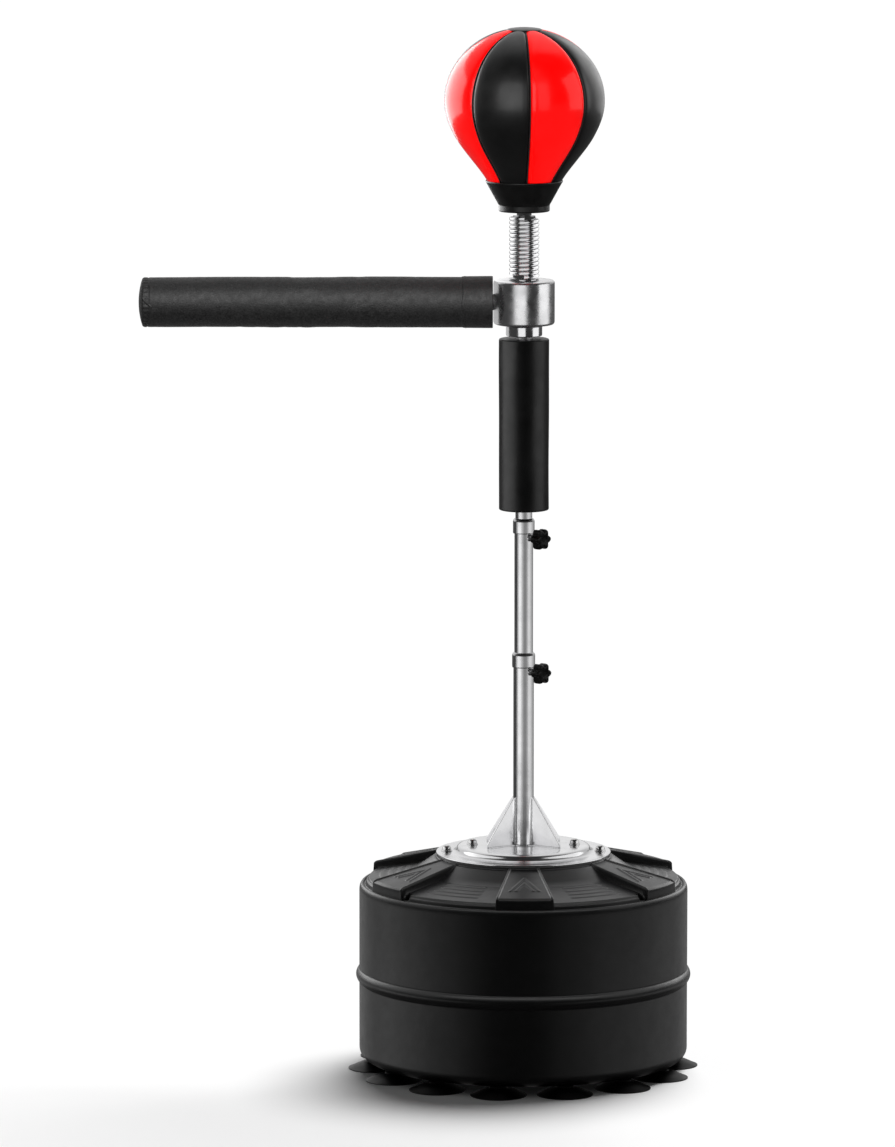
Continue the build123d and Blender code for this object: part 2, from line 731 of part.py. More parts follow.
def ball_spring():
    """The coil spring, its two ends cut flat where they sit on the seats."""
    path_r = SPRING_R - WIRE_R
    pitch = (SPRING_TOP - SPRING_Z) / SPRING_TURNS
    height = SPRING_TOP - SPRING_Z
    path = Pos(0, 0, SPRING_Z) * Helix(pitch, height, path_r)
    section = Plane(origin=path @ 0, z_dir=path % 0) * Circle(WIRE_R)
    coil = sweep(section, path, is_frenet=True)
    return coil & tube(SPRING_R + 1, path_r - WIRE_R - 1, SPRING_Z, SPRING_TOP)


def spring_upper_seat():
    """The plug in the spring's top coil and the stud that the ball's neck screws onto."""
    return lathe(
        (0, SPRING_TOP - SPIGOT_UP),
        (SPIGOT_R - 2, SPRING_TOP - SPIGOT_UP),
        (SPIGOT_R, SPRING_TOP - SPIGOT_UP + 2),
        (SPIGOT_R, SPRING_TOP),
        (STUD_R, SPRING_TOP),
        (STUD_R, STUD_TOP - 2),
        (STUD_R - 2, STUD_TOP),
        (0, STUD_TOP),
    )


def neck_cone():
    """The rubber cup that the ball's tapered foot sits in."""
    inner_foot = NECK_LIP_R - NECK_WALL
    return lathe(
        (STUD_R, NECK_LIP_Z),
        (NECK_LIP_R - 1, NECK_LIP_Z),
        (NECK_LIP_R, NECK_LIP_Z + 1),
        (NECK_LIP_R, NECK_LIP_TOP - 0.5),
        (NECK_LIP_R + 1.2, NECK_LIP_TOP + 1),
        (NECK_RIM_R - 0.4, NECK_RIM_Z - 0.8),
        (NECK_RIM_R - 1.0, NECK_RIM_Z),
        (inner_foot + (NECK_RIM_Z - NECK_LIP_TOP) * FOOT_TAPER, NECK_RIM_Z),
        (inner_foot, NECK_LIP_TOP),
        (STUD_R, NECK_LIP_TOP),
    )


def ball_section(inset, foot_z, hole_r=0.0):
    """Half of the ball's cross-section, moved inwards by an inset and cut off at a foot."""
    on_slope = 1.15 * inset
    foot_r = FOOT_R + (foot_z - BALL_FOOT_Z) * FOOT_TAPER - on_slope
    rim_r = FOOT_R + (NECK_RIM_Z - BALL_FOOT_Z) * FOOT_TAPER - on_slope
    widest = (BALL_R - inset, BALL_MID_Z)
    side = Spline(
        (rim_r, NECK_RIM_Z),
        (CHEEK_R - on_slope, CHEEK_Z),
        widest,
        tangents=((FOOT_TAPER, 1), (0, 1)),
    )
    high = BALL_TOP - inset - BALL_MID_Z
    crown = EllipticalCenterArc((0, BALL_MID_Z), BALL_R - inset, high, start_angle=0, arc_size=90)
    outline = Wire(
        [
            Line((0, foot_z), (foot_r, foot_z)),
            Line((foot_r, foot_z), (rim_r, NECK_RIM_Z)),
            side,
            crown,
            Line((0, BALL_TOP - inset), (0, foot_z)),
        ]
    )
    section = make_face(outline)
    if hole_r:
        section -= Pos(0, BALL_TOP) * Rectangle(2 * hole_r, 40)
    return section


def ball_panels(first):
    """Four of the eight sewn gores: every other one, from the first or the second."""
    wall = ball_section(0, BALL_FOOT_Z, TOP_HOLE_R) - ball_section(BALL_SHELL, BALL_FOOT_Z)
    step = 360 / PANELS
    panels = []
    for k in range(first, PANELS, 2):
        start = PANEL_FIRST_DEG - 90 + k * step
        panels.append(revolve(Rot(0, 0, start) * (Plane.XZ * wall), Axis.Z, step - SEAM_GAP_DEG))
    return Compound(children=panels)


def bladder():
    """The air bladder, just clear of the panels, open only where the valve goes in."""
    outer = BALL_SHELL + BLADDER_GAP
    inner = outer + BLADDER_T
    foot = STUD_TOP + 3
    wall = ball_section(outer, foot, VALVE_R) - ball_section(inner, foot + BLADDER_T)
    return revolve(Plane.XZ * wall, Axis.Z)


def ball_valve():
    return rod(VALVE_R, BALL_TOP - 16, BALL_TOP - 0.3)


def crown_z(radius):
    """Height of the ball's outside above the floor, near its top."""
    return BALL_MID_Z + (BALL_TOP - BALL_MID_Z) * sqrt(1 - (radius / BALL_R) ** 2)


def ball_top_disc():
    """The round patch that follows the crown over the panels' meeting point, with a needle hole."""
    steps = 6
    radii = [TOP_HOLE_R + (TOP_DISC_R - TOP_HOLE_R) * k / steps for k in range(steps + 1)]
    under = [(r, crown_z(r) + RUNNING) for r in radii]
    over = [(r, crown_z(r) + TOP_DISC_T) for r in reversed(radii[:-1])]
    return lathe(
        (VALVE_R, BALL_TOP - BALL_SHELL),
        (TOP_HOLE_R, BALL_TOP - BALL_SHELL),
        *under,
        (TOP_DISC_R, crown_z(TOP_DISC_R) + TOP_DISC_T / 2),
        *over,
        (NEEDLE_R, BALL_TOP + TOP_DISC_T),
        (NEEDLE_R, BALL_TOP - 0.3),
        (VALVE_R, BALL_TOP - 0.3),
    )


# ---- all the pieces ----
save(base_tank(), "base_tank")
for n in range(CUPS):
    save(suction_cup(CUP_FIRST_DEG - 180 / CUPS + n * 360 / CUPS), f"suction_cup_{n + 1:02d}")
save(mounting_plate(), "mounting_plate")
for n, front_deg in enumerate(GUSSET_DEGS):
    save(gusset(front_deg), f"gusset_{n + 1}")
save(at_bolts(plate_bolt), "plate_bolts")
save(at_bolts(plate_washer), "plate_washers")
save(at_bolts(tank_insert), "tank_inserts")
save(filler_cap(), "filler_cap")
save(filler_seal(), "filler_seal")

save(lower_tube(), "lower_tube")
save(ferrule(LOWER_FERRULE_R, LOWER_TUBE_R, LOWER_TUBE_TOP, MIDDLE_TUBE_R, LOWER_FERRULE_Z), "lower_ferrule")
save(weld_nut(LOWER_TUBE_R, LOWER_KNOB_Z), "lower_weld_nut")
save(clamp_screw(MIDDLE_TUBE_R, LOWER_KNOB_Z), "lower_clamp_screw")
save(star_knob(LOWER_TUBE_R, MIDDLE_TUBE_R, LOWER_KNOB_Z), "lower_knob")
save(middle_tube(), "middle_tube")
save(glide(MIDDLE_TUBE_Z, MIDDLE_TUBE_BORE, LOWER_TUBE_BORE), "middle_tube_glide")
save(ferrule(UPPER_FERRULE_R, MIDDLE_TUBE_R, MIDDLE_TUBE_TOP, UPPER_TUBE_R, UPPER_FERRULE_Z), "upper_ferrule")
save(weld_nut(MIDDLE_TUBE_R, UPPER_KNOB_Z), "upper_weld_nut")
save(clamp_screw(UPPER_TUBE_R, UPPER_KNOB_Z), "upper_clamp_screw")
save(star_knob(MIDDLE_TUBE_R, UPPER_TUBE_R, UPPER_KNOB_Z), "upper_knob")
save(upper_tube(), "upper_tube")
save(glide(UPPER_TUBE_Z, UPPER_TUBE_BORE, MIDDLE_TUBE_BORE), "upper_tube_glide")

save(pole_pad(), "pole_pad")
save(spindle(), "spindle")
save(support_ring(), "support_ring")
save(both_bearings(inner_race), "bearing_inner_races")
save(both_bearings(outer_race), "bearing_outer_races")
save(bearing_balls(), "bearing_balls")
save(hub(), "hub")
save(bar_tube(), "bar_tube")
save(bar_foam(), "bar_foam")
save(bar_cover(), "bar_cover")
save(bar_cuff(), "bar_cuff")

save(spring_lower_seat(), "spring_lower_seat")
save(spindle_nut(), "spindle_nut")
save(ball_spring(), "ball_spring")
save(spring_upper_seat(), "spring_upper_seat")
save(neck_cone(), "neck_cone")
save(ball_panels(0), "ball_panels_red")
save(ball_panels(1), "ball_panels_black")
save(bladder(), "bladder")
save(ball_valve(), "ball_valve")
save(ball_top_disc(), "ball_top_disc")
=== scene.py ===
import json
import math

import bmesh
import bpy
import numpy as np
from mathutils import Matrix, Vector


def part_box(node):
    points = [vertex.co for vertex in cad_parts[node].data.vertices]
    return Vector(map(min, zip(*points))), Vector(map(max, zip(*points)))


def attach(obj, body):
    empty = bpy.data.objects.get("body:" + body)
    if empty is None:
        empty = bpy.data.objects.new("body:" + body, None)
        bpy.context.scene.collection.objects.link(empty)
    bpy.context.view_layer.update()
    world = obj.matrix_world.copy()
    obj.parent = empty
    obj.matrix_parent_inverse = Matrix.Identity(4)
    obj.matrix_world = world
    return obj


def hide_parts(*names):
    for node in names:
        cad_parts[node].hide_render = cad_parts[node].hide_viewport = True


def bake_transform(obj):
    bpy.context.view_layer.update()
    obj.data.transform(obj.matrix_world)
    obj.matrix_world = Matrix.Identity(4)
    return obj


# The looks of a free-standing speed ball trainer. Metres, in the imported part's own frame:
# the origin is on the pole's axis at floor level, +Z up, the front is towards -Y, the bar points along -X.

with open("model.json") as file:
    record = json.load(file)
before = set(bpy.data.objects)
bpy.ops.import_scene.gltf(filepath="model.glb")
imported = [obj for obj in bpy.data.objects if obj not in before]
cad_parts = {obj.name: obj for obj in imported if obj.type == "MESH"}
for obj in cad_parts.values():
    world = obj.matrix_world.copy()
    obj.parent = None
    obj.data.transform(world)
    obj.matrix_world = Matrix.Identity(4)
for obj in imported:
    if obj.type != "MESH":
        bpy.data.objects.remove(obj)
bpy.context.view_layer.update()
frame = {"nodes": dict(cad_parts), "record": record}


# ---- reading the frame ----
def size_of(node):
    """(radius, lowest, highest) of a node that is round about an upright axis."""
    lo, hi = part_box(node)
    return (hi.x - lo.x) / 2, lo.z, hi.z


def place_of(node):
    """Where a node's upright axis stands, as (x, y)."""
    lo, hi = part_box(node)
    return (lo.x + hi.x) / 2, (lo.y + hi.y) / 2


def lying_size_of(node):
    """(axis height, radius, near end, far end) of a round node that lies along the bar."""
    lo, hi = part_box(node)
    return (lo.z + hi.z) / 2, (hi.z - lo.z) / 2, -hi.x, -lo.x


# ---- building meshes ----
def smooth(t):
    """0 below 0, 1 above 1, and an even S between."""
    t = np.clip(t, 0.0, 1.0)
    return t * t * (3 - 2 * t)


def whole_turn(steps):
    return np.linspace(0, 2 * math.pi, steps, endpoint=False)


def circle(radius, turn, height, place=(0.0, 0.0)):
    """Points round an upright axis. The radius and the height may change with the turn."""
    x, y = place[0] + radius * np.cos(turn), place[1] + radius * np.sin(turn)
    return np.stack([x, y, height + 0 * turn], 1)


def shade(mesh, sharp_deg):
    """Smooth shading, with the edges above an angle kept sharp."""
    mesh.polygons.foreach_set("use_smooth", [True] * len(mesh.polygons))
    mesh.set_sharp_from_angle(angle=math.radians(sharp_deg))


def add_object(name, data):
    thing = bpy.data.objects.new(name, data)
    bpy.context.scene.collection.objects.link(thing)
    return thing


def make_mesh(name, verts, faces, sharp_deg=40.0):
    """A mesh object with its faces turned outwards."""
    mesh = bpy.data.meshes.new(name)
    mesh.from_pydata([tuple(v) for v in verts], [], faces)
    mesh.validate()
    bm = bmesh.new()
    bm.from_mesh(mesh)
    bmesh.ops.recalc_face_normals(bm, faces=bm.faces)
    bm.to_mesh(mesh)
    bm.free()
    shade(mesh, sharp_deg)
    return add_object(name, mesh)


def grid_faces(rows, columns, wrap_rows=False, wrap_columns=False, start=0):
    """Quads over a grid of points stored row by row."""
    faces = []
    for i in range(rows if wrap_rows else rows - 1):
        a, b = start + i * columns, start + (i + 1) % rows * columns
        for j in range(columns if wrap_columns else columns - 1):
            k = (j + 1) % columns
            faces.append((a + j, a + k, b + k, b + j))
    return faces


def soften(corners, steps=6):
    """Rounds each corner of an outline. A corner is (radius, height, rounding)."""
    rounded = []
    count = len(corners)
    for i, (r, z, size) in enumerate(corners):
        here = np.array((r, z))
        before = np.array(corners[i - 1][:2]) - here
        after = np.array(corners[(i + 1) % count][:2]) - here
        lengths = np.linalg.norm(before), np.linalg.norm(after)
        if size <= 0 or min(lengths) < 1e-9:
            rounded.append(here)
            continue
        reach = min(size, 0.49 * lengths[0], 0.49 * lengths[1])
        p = here + before / lengths[0] * reach
        q = here + after / lengths[1] * reach
        for t in np.linspace(0, 1, steps):
            rounded.append((1 - t) ** 2 * p + 2 * t * (1 - t) * here + t * t * q)
    return rounded


def lathe(name, outline, steps=128, place=(0.0, 0.0), closed=False, sharp_deg=40.0):
    """A piece turned about an upright axis. A closed outline makes a ring."""
    turn = whole_turn(steps)
    verts, rings = [], []
    for r, z in outline:
        if r < 1e-7:
            rings.append([len(verts)])
            verts.append((*place, z))
        else:
            rings.append(list(range(len(verts), len(verts) + steps)))
            verts.extend(circle(r, turn, z, place))
    faces = []
    for lower, upper in zip(rings, rings[1:] + ([rings[0]] if closed else [])):
        for j in range(steps):
            k = (j + 1) % steps
            if len(lower) == 1 and len(upper) == 1:
                break
            if len(lower) == 1:
                faces.append((lower[0], upper[k], upper[j]))
            elif len(upper) == 1:
                faces.append((lower[j], lower[k], upper[0]))
            else:
                faces.append((lower[j], lower[k], upper[k], upper[j]))
    return make_mesh(name, verts, faces, sharp_deg)


def ring(name, outer, inner, low, high, edge, steps=128, inner_edge=None):
    """A tube or collar with rounded edges."""
    soft = edge if inner_edge is None else inner_edge
    corners = [(outer, low, edge), (outer, high, edge), (inner, high, soft), (inner, low, soft)]
    return lathe(name, soften(corners), steps, closed=True)


def sweep(name, centres, radius, sides=8, loop=False, lumps=0.0):
    """A round bead along a path of points, with capped ends unless the path is a loop."""
    path = np.array(centres, float)
    count = len(path)
    tangents = np.roll(path, -1, 0) - np.roll(path, 1, 0) if loop else np.gradient(path, axis=0)
    tangents /= np.linalg.norm(tangents, axis=1)[:, None]
    side = np.cross(tangents[0], (0.0, 0.0, 1.0))
    if np.linalg.norm(side) < 1e-6:
        side = np.cross(tangents[0], (1.0, 0.0, 0.0))
    verts = []
    for i in range(count):
        side = side - tangents[i] * np.dot(side, tangents[i])
        side /= np.linalg.norm(side)
        other = np.cross(tangents[i], side)
        thick = radius * (1 + lumps * math.sin(i * 1.9) * math.sin(i * 0.7))
        for a in whole_turn(sides):
            verts.append(path[i] + thick * (math.cos(a) * side + math.sin(a) * other))
    faces = grid_faces(count, sides, wrap_rows=loop, wrap_columns=True)
    if not loop:
        faces += end_caps(count, sides)
    return make_mesh(name, verts, faces, 60)


def end_caps(rows, columns):
    """One face over the first row of a grid and one over the last."""
    return [tuple(range(columns)), tuple(range((rows - 1) * columns, rows * columns))]


def bevel_all(bm, width):
    bmesh.ops.bevel(bm, geom=bm.edges[:], offset=width, segments=3, affect="EDGES", profile=0.5)


def soft_box(name, size, centre, edge):
    """A box with rounded edges."""
    bm = bmesh.new()
    bmesh.ops.create_cube(bm, size=1.0)
    for v in bm.verts:
        v.co = v.co * Vector(size)
    bevel_all(bm, edge)
    for v in bm.verts:
        v.co += Vector(centre)
    mesh = bpy.data.meshes.new(name)
    bm.to_mesh(mesh)
    bm.free()
    shade(mesh, 50)
    return add_object(name, mesh)


def move_points(piece, change):
    """Passes all points through a function of an (n, 3) array."""
    points = np.empty(len(piece.data.vertices) * 3)
    piece.data.vertices.foreach_get("co", points)
    piece.data.vertices.foreach_set("co", change(points.reshape(-1, 3)).ravel())
    piece.data.update()


def join(name, parts):
    """One object from several."""
    bpy.ops.object.select_all(action="DESELECT")
    for p in parts:
        p.select_set(True)
    bpy.context.view_layer.objects.active = parts[0]
    bpy.ops.object.join()
    parts[0].name = name
    return parts[0]


# ---- materials ----
def add_node(tree, kind, values, wires, **settings):
    """A shader node. Values go to its inputs, and wires join its inputs to other nodes' outputs."""
    node = tree.nodes.new(kind)
    for key, value in settings.items():
        setattr(node, key, value)
    for socket, value in values.items():
        node.inputs[socket].default_value = value
    for socket, source in wires.items():
        tree.links.new(source, node.inputs[socket])
    return node


def new_material(name, color, roughness, metallic=0.0, specular=0.5, coat=(0.0, 0.1), sheen=0.0):
    """A plain principled material. The coat is (weight, roughness)."""
    material = bpy.data.materials.new(name)
    material.use_nodes = True
    shader = material.node_tree.nodes["Principled BSDF"]
    for socket, value in {
        "Base Color": (*color, 1.0), "Roughness": roughness, "Metallic": metallic,
        "Specular IOR Level": specular, "Coat Weight": coat[0], "Coat Roughness": coat[1],
        "Sheen Weight": sheen, "Sheen Roughness": 0.4,
    }.items():
        shader.inputs[socket].default_value = value
    return material


def place_nodes(material, stretch=(1.0, 1.0, 1.0)):
    """Object coordinates in metres, stretched where a finish has a direction."""
    where = material.node_tree.nodes.new("ShaderNodeTexCoord").outputs["Object"]
    mapping = add_node(material.node_tree, "ShaderNodeMapping", {"Scale": stretch}, {"Vector": where})
    return mapping.outputs["Vector"]


def noise_nodes(material, where, per_metre, detail=2.0, roughness=0.5):
    values = {"Scale": per_metre, "Detail": detail, "Roughness": roughness}
    return add_node(material.node_tree, "ShaderNodeTexNoise", values, {"Vector": where}).outputs["Fac"]


def cell_nodes(material, where, per_metre):
    cells = add_node(material.node_tree, "ShaderNodeTexVoronoi", {"Scale": per_metre}, {"Vector": where})
    return cells.outputs["Distance"]


def ranged(material, value, low, high, from_low=0.3, from_high=0.7):
    """A 0..1 texture value turned into a number between low and high."""
    values = {"From Min": from_low, "From Max": from_high, "To Min": low, "To Max": high}
    return add_node(material.node_tree, "ShaderNodeMapRange", values, {"Value": value}).outputs["Result"]


def dress(material, tint, colors, wear, roughness, *bumps):
    """Mixes two colours by one 0..1 value and roughness by another, and stacks (value, height) bumps."""
    tree = material.node_tree
    first, second = ((*color, 1.0) for color in colors)
    mix = add_node(tree, "ShaderNodeMix", {"A": first, "B": second}, {"Factor": tint}, data_type="RGBA")
    normal = {}
    for value, height in bumps:
        amounts = {"Distance": height, "Strength": 1.0}
        bump = add_node(tree, "ShaderNodeBump", amounts, {"Height": value, **normal})
        normal = {"Normal": bump.outputs["Normal"]}
    shader = tree.nodes["Principled BSDF"]
    tree.links.new(mix.outputs["Result"], shader.inputs["Base Color"])
    tree.links.new(ranged(material, wear, *roughness), shader.inputs["Roughness"])
    tree.links.new(normal["Normal"], shader.inputs["Normal"])
    return material


def paler(color, times, plus):
    return tuple(min(1.0, c * times + plus) for c in color)


def moulded_plastic(name, color, roughness, grain=0.00003):
    """Blow-moulded polyethylene or nylon: a soft gloss with a faint grain and uneven shine."""
    material = new_material(name, color, roughness)
    where = place_nodes(material)
    clouds = ranged(material, noise_nodes(material, where, 9, 4), 0, 1)
    marks = noise_nodes(material, where, 60, 5, 0.65)
    fine, swell = noise_nodes(material, where, 1500), noise_nodes(material, where, 14, 1)
    return dress(material, clouds, (color, paler(color, 1.5, 0.0006)),
                 marks, (roughness - 0.03, roughness + 0.05), (swell, 0.0003), (fine, grain))


def chrome(name, roughness, color=(0.86, 0.86, 0.87), brushed=(1.0, 1.0, 1.0), lines=0.0):
    """Polished plate with light smudges, and fine lines where it was brushed first."""
    material = new_material(name, color, roughness, metallic=1.0)
    smudge = noise_nodes(material, place_nodes(material), 38, 5, 0.6)
    scratches = noise_nodes(material, place_nodes(material, brushed), 900, 3, 0.6)
    return dress(material, ranged(material, smudge, 0, 1), (color, paler(color, 0.93, 0)),
                 smudge, (roughness * 0.7, roughness * 1.6), (scratches, 0.000002 + lines))


def steel(name, color, roughness):
    return chrome(name, roughness, color, (1.0, 1.0, 8.0), 0.000006)


def coated_sleeve(name, color, roughness):
    """Smooth coated foam: a skin with a very fine pebble and slow dents."""
    material = new_material(name, color, roughness, specular=0.45)
    where = place_nodes(material)
    pebble, dents = cell_nodes(material, where, 850), noise_nodes(material, where, 45, 3)
    clouds = ranged(material, noise_nodes(material, where, 30, 4), 0, 1)
    return dress(material, clouds, (color, paler(color, 1.6, 0.0008)),
                 dents, (roughness - 0.05, roughness + 0.07), (dents, 0.0004), (pebble, 0.00006))


def grained_fabric(name, dark, light):
    """Charcoal synthetic cover cloth: close mottled grain, matte, with a soft sheen."""
    material = new_material(name, dark, 0.55, specular=0.4, sheen=0.12)
    where = place_nodes(material)
    mottle, threads = noise_nodes(material, where, 420, 4, 0.65), cell_nodes(material, where, 1100)
    patches = noise_nodes(material, where, 120, 3)
    return dress(material, ranged(material, mottle, 0, 1, 0.35, 0.65), (dark, light),
                 patches, (0.47, 0.64), (patches, 0.0005), (mottle, 0.0003), (threads, 0.0002))


def glossy_leather(name, color, roughness, specular, coat, pale):
    """Synthetic leather under a clear coat, with a fine pore grain."""
    material = new_material(name, color, roughness, specular=specular, coat=coat)
    where = place_nodes(material)
    pores, dents = cell_nodes(material, where, 950), noise_nodes(material, where, 55, 3)
    clouds = ranged(material, noise_nodes(material, where, 22, 3), 0, 1)
    return dress(material, clouds, (color, paler(color, pale, 0.001)),
                 dents, (roughness - 0.04, roughness + 0.06), (dents, 0.00008), (pores, 0.00002))


def rubber(name, color, roughness):
    """Matt rubber with a pale bloom."""
    material = new_material(name, color, roughness, specular=0.4)
    where = place_nodes(material)
    bloom, fine = noise_nodes(material, where, 70, 4), noise_nodes(material, where, 1300)
    return dress(material, ranged(material, bloom, 0, 1), (color, paler(color, 1.7, 0.001)),
                 bloom, (roughness - 0.05, roughness + 0.1), (fine, 0.00005))


M = {
    "tank_black": moulded_plastic("tank_black", (0.0016, 0.0016, 0.0018), 0.34),
    "cup_rubber": rubber("cup_rubber", (0.0014, 0.0014, 0.0014), 0.42),
    "chrome": chrome("chrome", 0.16),
    "hub_chrome": chrome("hub_chrome", 0.24, brushed=(1.0, 1.0, 14.0), lines=0.000003),
    "spring_chrome": chrome("spring_chrome", 0.16, (0.84, 0.84, 0.85)),
    "bolt_steel": steel("bolt_steel", (0.8, 0.8, 0.8), 0.16),
    "turned_steel": steel("turned_steel", (0.58, 0.58, 0.59), 0.28),
    "bearing_steel": steel("bearing_steel", (0.66, 0.66, 0.68), 0.16),
    "insert_brass": steel("insert_brass", (0.76, 0.56, 0.24), 0.3),
    "knob_black": moulded_plastic("knob_black", (0.002, 0.002, 0.0022), 0.38, 0.00008),
    "glide_plastic": moulded_plastic("glide_plastic", (0.03, 0.03, 0.03), 0.45, 0.00006),
    "seal_rubber": rubber("seal_rubber", (0.012, 0.012, 0.012), 0.55),
    "pad_black": coated_sleeve("pad_black", (0.0022, 0.0022, 0.0024), 0.4),
    "foam_grey": coated_sleeve("foam_grey", (0.06, 0.06, 0.063), 0.8),
    "bar_fabric": grained_fabric("bar_fabric", (0.004, 0.0038, 0.0039), (0.022, 0.0212, 0.0216)),
    "cuff_fabric": grained_fabric("cuff_fabric", (0.004, 0.0036, 0.0037), (0.021, 0.0196, 0.02)),
    "neck_rubber": rubber("neck_rubber", (0.0035, 0.0032, 0.0032), 0.36),
    "leather_red": glossy_leather("leather_red", (0.94, 0.0, 0.0), 0.34, 0.02, (0.5, 0.15), 1.15),
    "leather_black": glossy_leather("leather_black", (0.003, 0.003, 0.0032), 0.42, 0.5, (0.3, 0.22), 1.5),
    "bladder_rubber": rubber("bladder_rubber", (0.12, 0.02, 0.02), 0.5),
}


def finish_piece(piece, slot, body, *nodes):
    """Gives a piece the material named by its record slot, puts it on its body, and hides the CAD nodes that
    it stands for.
    """
    piece.data.materials.clear()
    piece.data.materials.append(M[slot])
    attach(piece, body)
    if nodes:
        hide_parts(*nodes)


# ---- the tank ----
# Six spokes with rolled rims slope from the boss down to the barrel, with a sunk pocket between each two.
CUPS = 14
SPOKES = 6
SPOKE_HALF_DEG = 10.4
SPOKE_R = 0.219
SPOKE_SUNK = 0.0029
SPOKE_SLOPE = 0.0236 / 0.101
RIM_WIDTH = 0.0042
RIM_UP = 0.0017
BOSS_R = 0.118
WELL_R = 0.035
WELL_UNDER_BOSS = 0.0365
RIB_Z, RIB_HALF, RIB_OUT = 0.131, 0.009, 0.0045


def blurred(r, path_r, path_drop, reach):
    """A path's drop at each radius, averaged over a short reach so that its corners are round."""
    shifts = np.linspace(-reach, reach, 5)
    return sum(np.interp(r + s, path_r, path_drop) for s in shifts) / len(shifts)


def tank_pocket_z(r, boss_z):
    """Height of the tank's top between spokes: boss, steep ramp, floor, step, groove and lip bead."""
    ramp_r, ramp_drop = (0.122, 0.146, 0.2115), (0.0045, 0.021, 0.0333)
    path_r = (0, 0.1176, 0.1184, *ramp_r, 0.2130, 0.2150, 0.2160, 0.2180, 0.2195, 0.2212)
    path_drop = (0, 0, 0.0045, *ramp_drop, 0.0365, 0.0372, 0.0428, 0.0430, 0.0412, 0.0408)
    rounder = np.interp(r, ramp_r, ramp_drop) - blurred(r, ramp_r, ramp_drop, 0.0054)
    on_floor = smooth((r - 0.126) / 0.006) * smooth((0.207 - r) / 0.004)
    return boss_z - blurred(r, path_r, path_drop, 0.0006) + rounder * on_floor


def from_spoke(r, degrees, k):
    """Degrees away from a spoke's middle line, and the distances across and along it."""
    away = (degrees - k * 360 / SPOKES + 180) % 360 - 180
    turn = np.radians(np.clip(away, -89, 89))
    return away, r * np.sin(turn), r * np.cos(turn)


def step_up(distance, width=0.0008):
    """0 before a moulded edge, 1 after it."""
    return smooth(distance / width + 0.5)


def chevron_height(across, along):
    """Two nested V bars that point at the pole, 0..1."""
    height = np.zeros_like(along)
    bar_width, opening, foot = 0.0042, 0.478, 0.192
    for apex in (0.146, 0.162):
        inside = (along - apex) * opening - np.abs(across)
        bar = step_up(inside) * step_up(bar_width - inside)
        height = np.maximum(height, bar * step_up(foot - along))
    return height


def tank_relief(r, degrees, boss_z):
    """How much of a spoke is under each point, and the spoke's own height there."""
    spoke_z = boss_z - SPOKE_SUNK - (r - BOSS_R) * SPOKE_SLOPE
    amount = np.zeros_like(r)
    half = r * math.sin(math.radians(SPOKE_HALF_DEG))
    end_roll, end_drop, chevron_up = 0.006, 0.0034, 0.001
    rolled = np.clip((r - SPOKE_R + end_roll) / end_roll, 0, 1)
    for k in range(SPOKES):
        away, across, along = from_spoke(r, degrees, k)
        near = np.abs(away) < 40
        edge = half - np.abs(across)
        under = step_up(edge, 0.0012) * (1 - step_up(r - SPOKE_R, 0.0011))
        amount = np.maximum(amount, np.where(near, under, 0))
        bead = np.sqrt(np.clip(np.sin(math.pi * np.clip(edge / RIM_WIDTH, 0, 1)), 0, 1))
        spoke_z = spoke_z + np.where(near & (edge > -0.001), RIM_UP * bead, 0)
        spoke_z = spoke_z - np.where(near, end_drop * (1 - np.sqrt(1 - rolled**2)), 0)
        spoke_z = spoke_z + np.where(near, chevron_up * chevron_height(across, along), 0)
    return amount, spoke_z


def corner_notches(r, degrees):
    """The dark moulded recesses either side of the corners of the four side spokes, 0..1."""
    pits = np.zeros_like(r)
    wall = 0.0008
    for k in (1, 2, 4, 5):
        away, _, _ = from_spoke(r, degrees, k)
        out = np.abs(r * np.radians(away)) - r * math.sin(math.radians(SPOKE_HALF_DEG))
        beside = smooth((out - 0.002) / wall) * smooth((0.0105 - out) / wall)
        beside *= smooth((r - 0.2075) / wall) * smooth((0.2158 - r) / wall)
        pits = np.maximum(pits, beside)
    return pits


def pocket_ribs(r, degrees):
    """Plain moulded grip ribs across each pocket floor, 0..1."""
    first_r, last_r, pitch, half_deg = 0.152, 0.200, 0.012, 11.5
    away = (degrees - 30) % 60
    away = np.minimum(away, 60 - away)
    mask = smooth(half_deg - away) * smooth((r - first_r) / 0.002) * smooth((last_r - r) / 0.002)
    wave = 0.5 - 0.5 * np.cos(2 * math.pi * (r - first_r) / pitch)
    return mask * smooth(wave * 1.6 - 0.3)


def barrel_side(barrel, boss_z, low):
    """(radius, height) down the outside: lip bead, wall, half-round rib, wall, rounded foot, underside."""
    lip_z, top = boss_z - 0.041, boss_z - 0.0505
    foot, gap = 0.016, 0.002
    side = []
    for turn in np.linspace(0.06, 1, 9) * math.pi / 2:
        side.append((barrel - 0.0038 * (1 - math.sin(turn)), top + (lip_z - top) * math.cos(turn)))
    side += [(barrel, h) for h in np.linspace(top - gap, RIB_Z + RIB_HALF + gap, 8)]
    for t in np.linspace(0, 1, 25):
        side.append((barrel + RIB_OUT * math.sin(math.pi * t) ** 0.8, RIB_Z + RIB_HALF * (1 - 2 * t)))
    side += [(barrel, h) for h in np.linspace(RIB_Z - RIB_HALF - gap, low + foot + gap / 2, 8)]
    for t in np.linspace(0, math.pi / 2, 12):
        side.append((barrel - foot * (1 - math.cos(t)), low + foot * (1 - math.sin(t))))
    return side + [(w, low) for w in (0.19, 0.12, 0.02)]


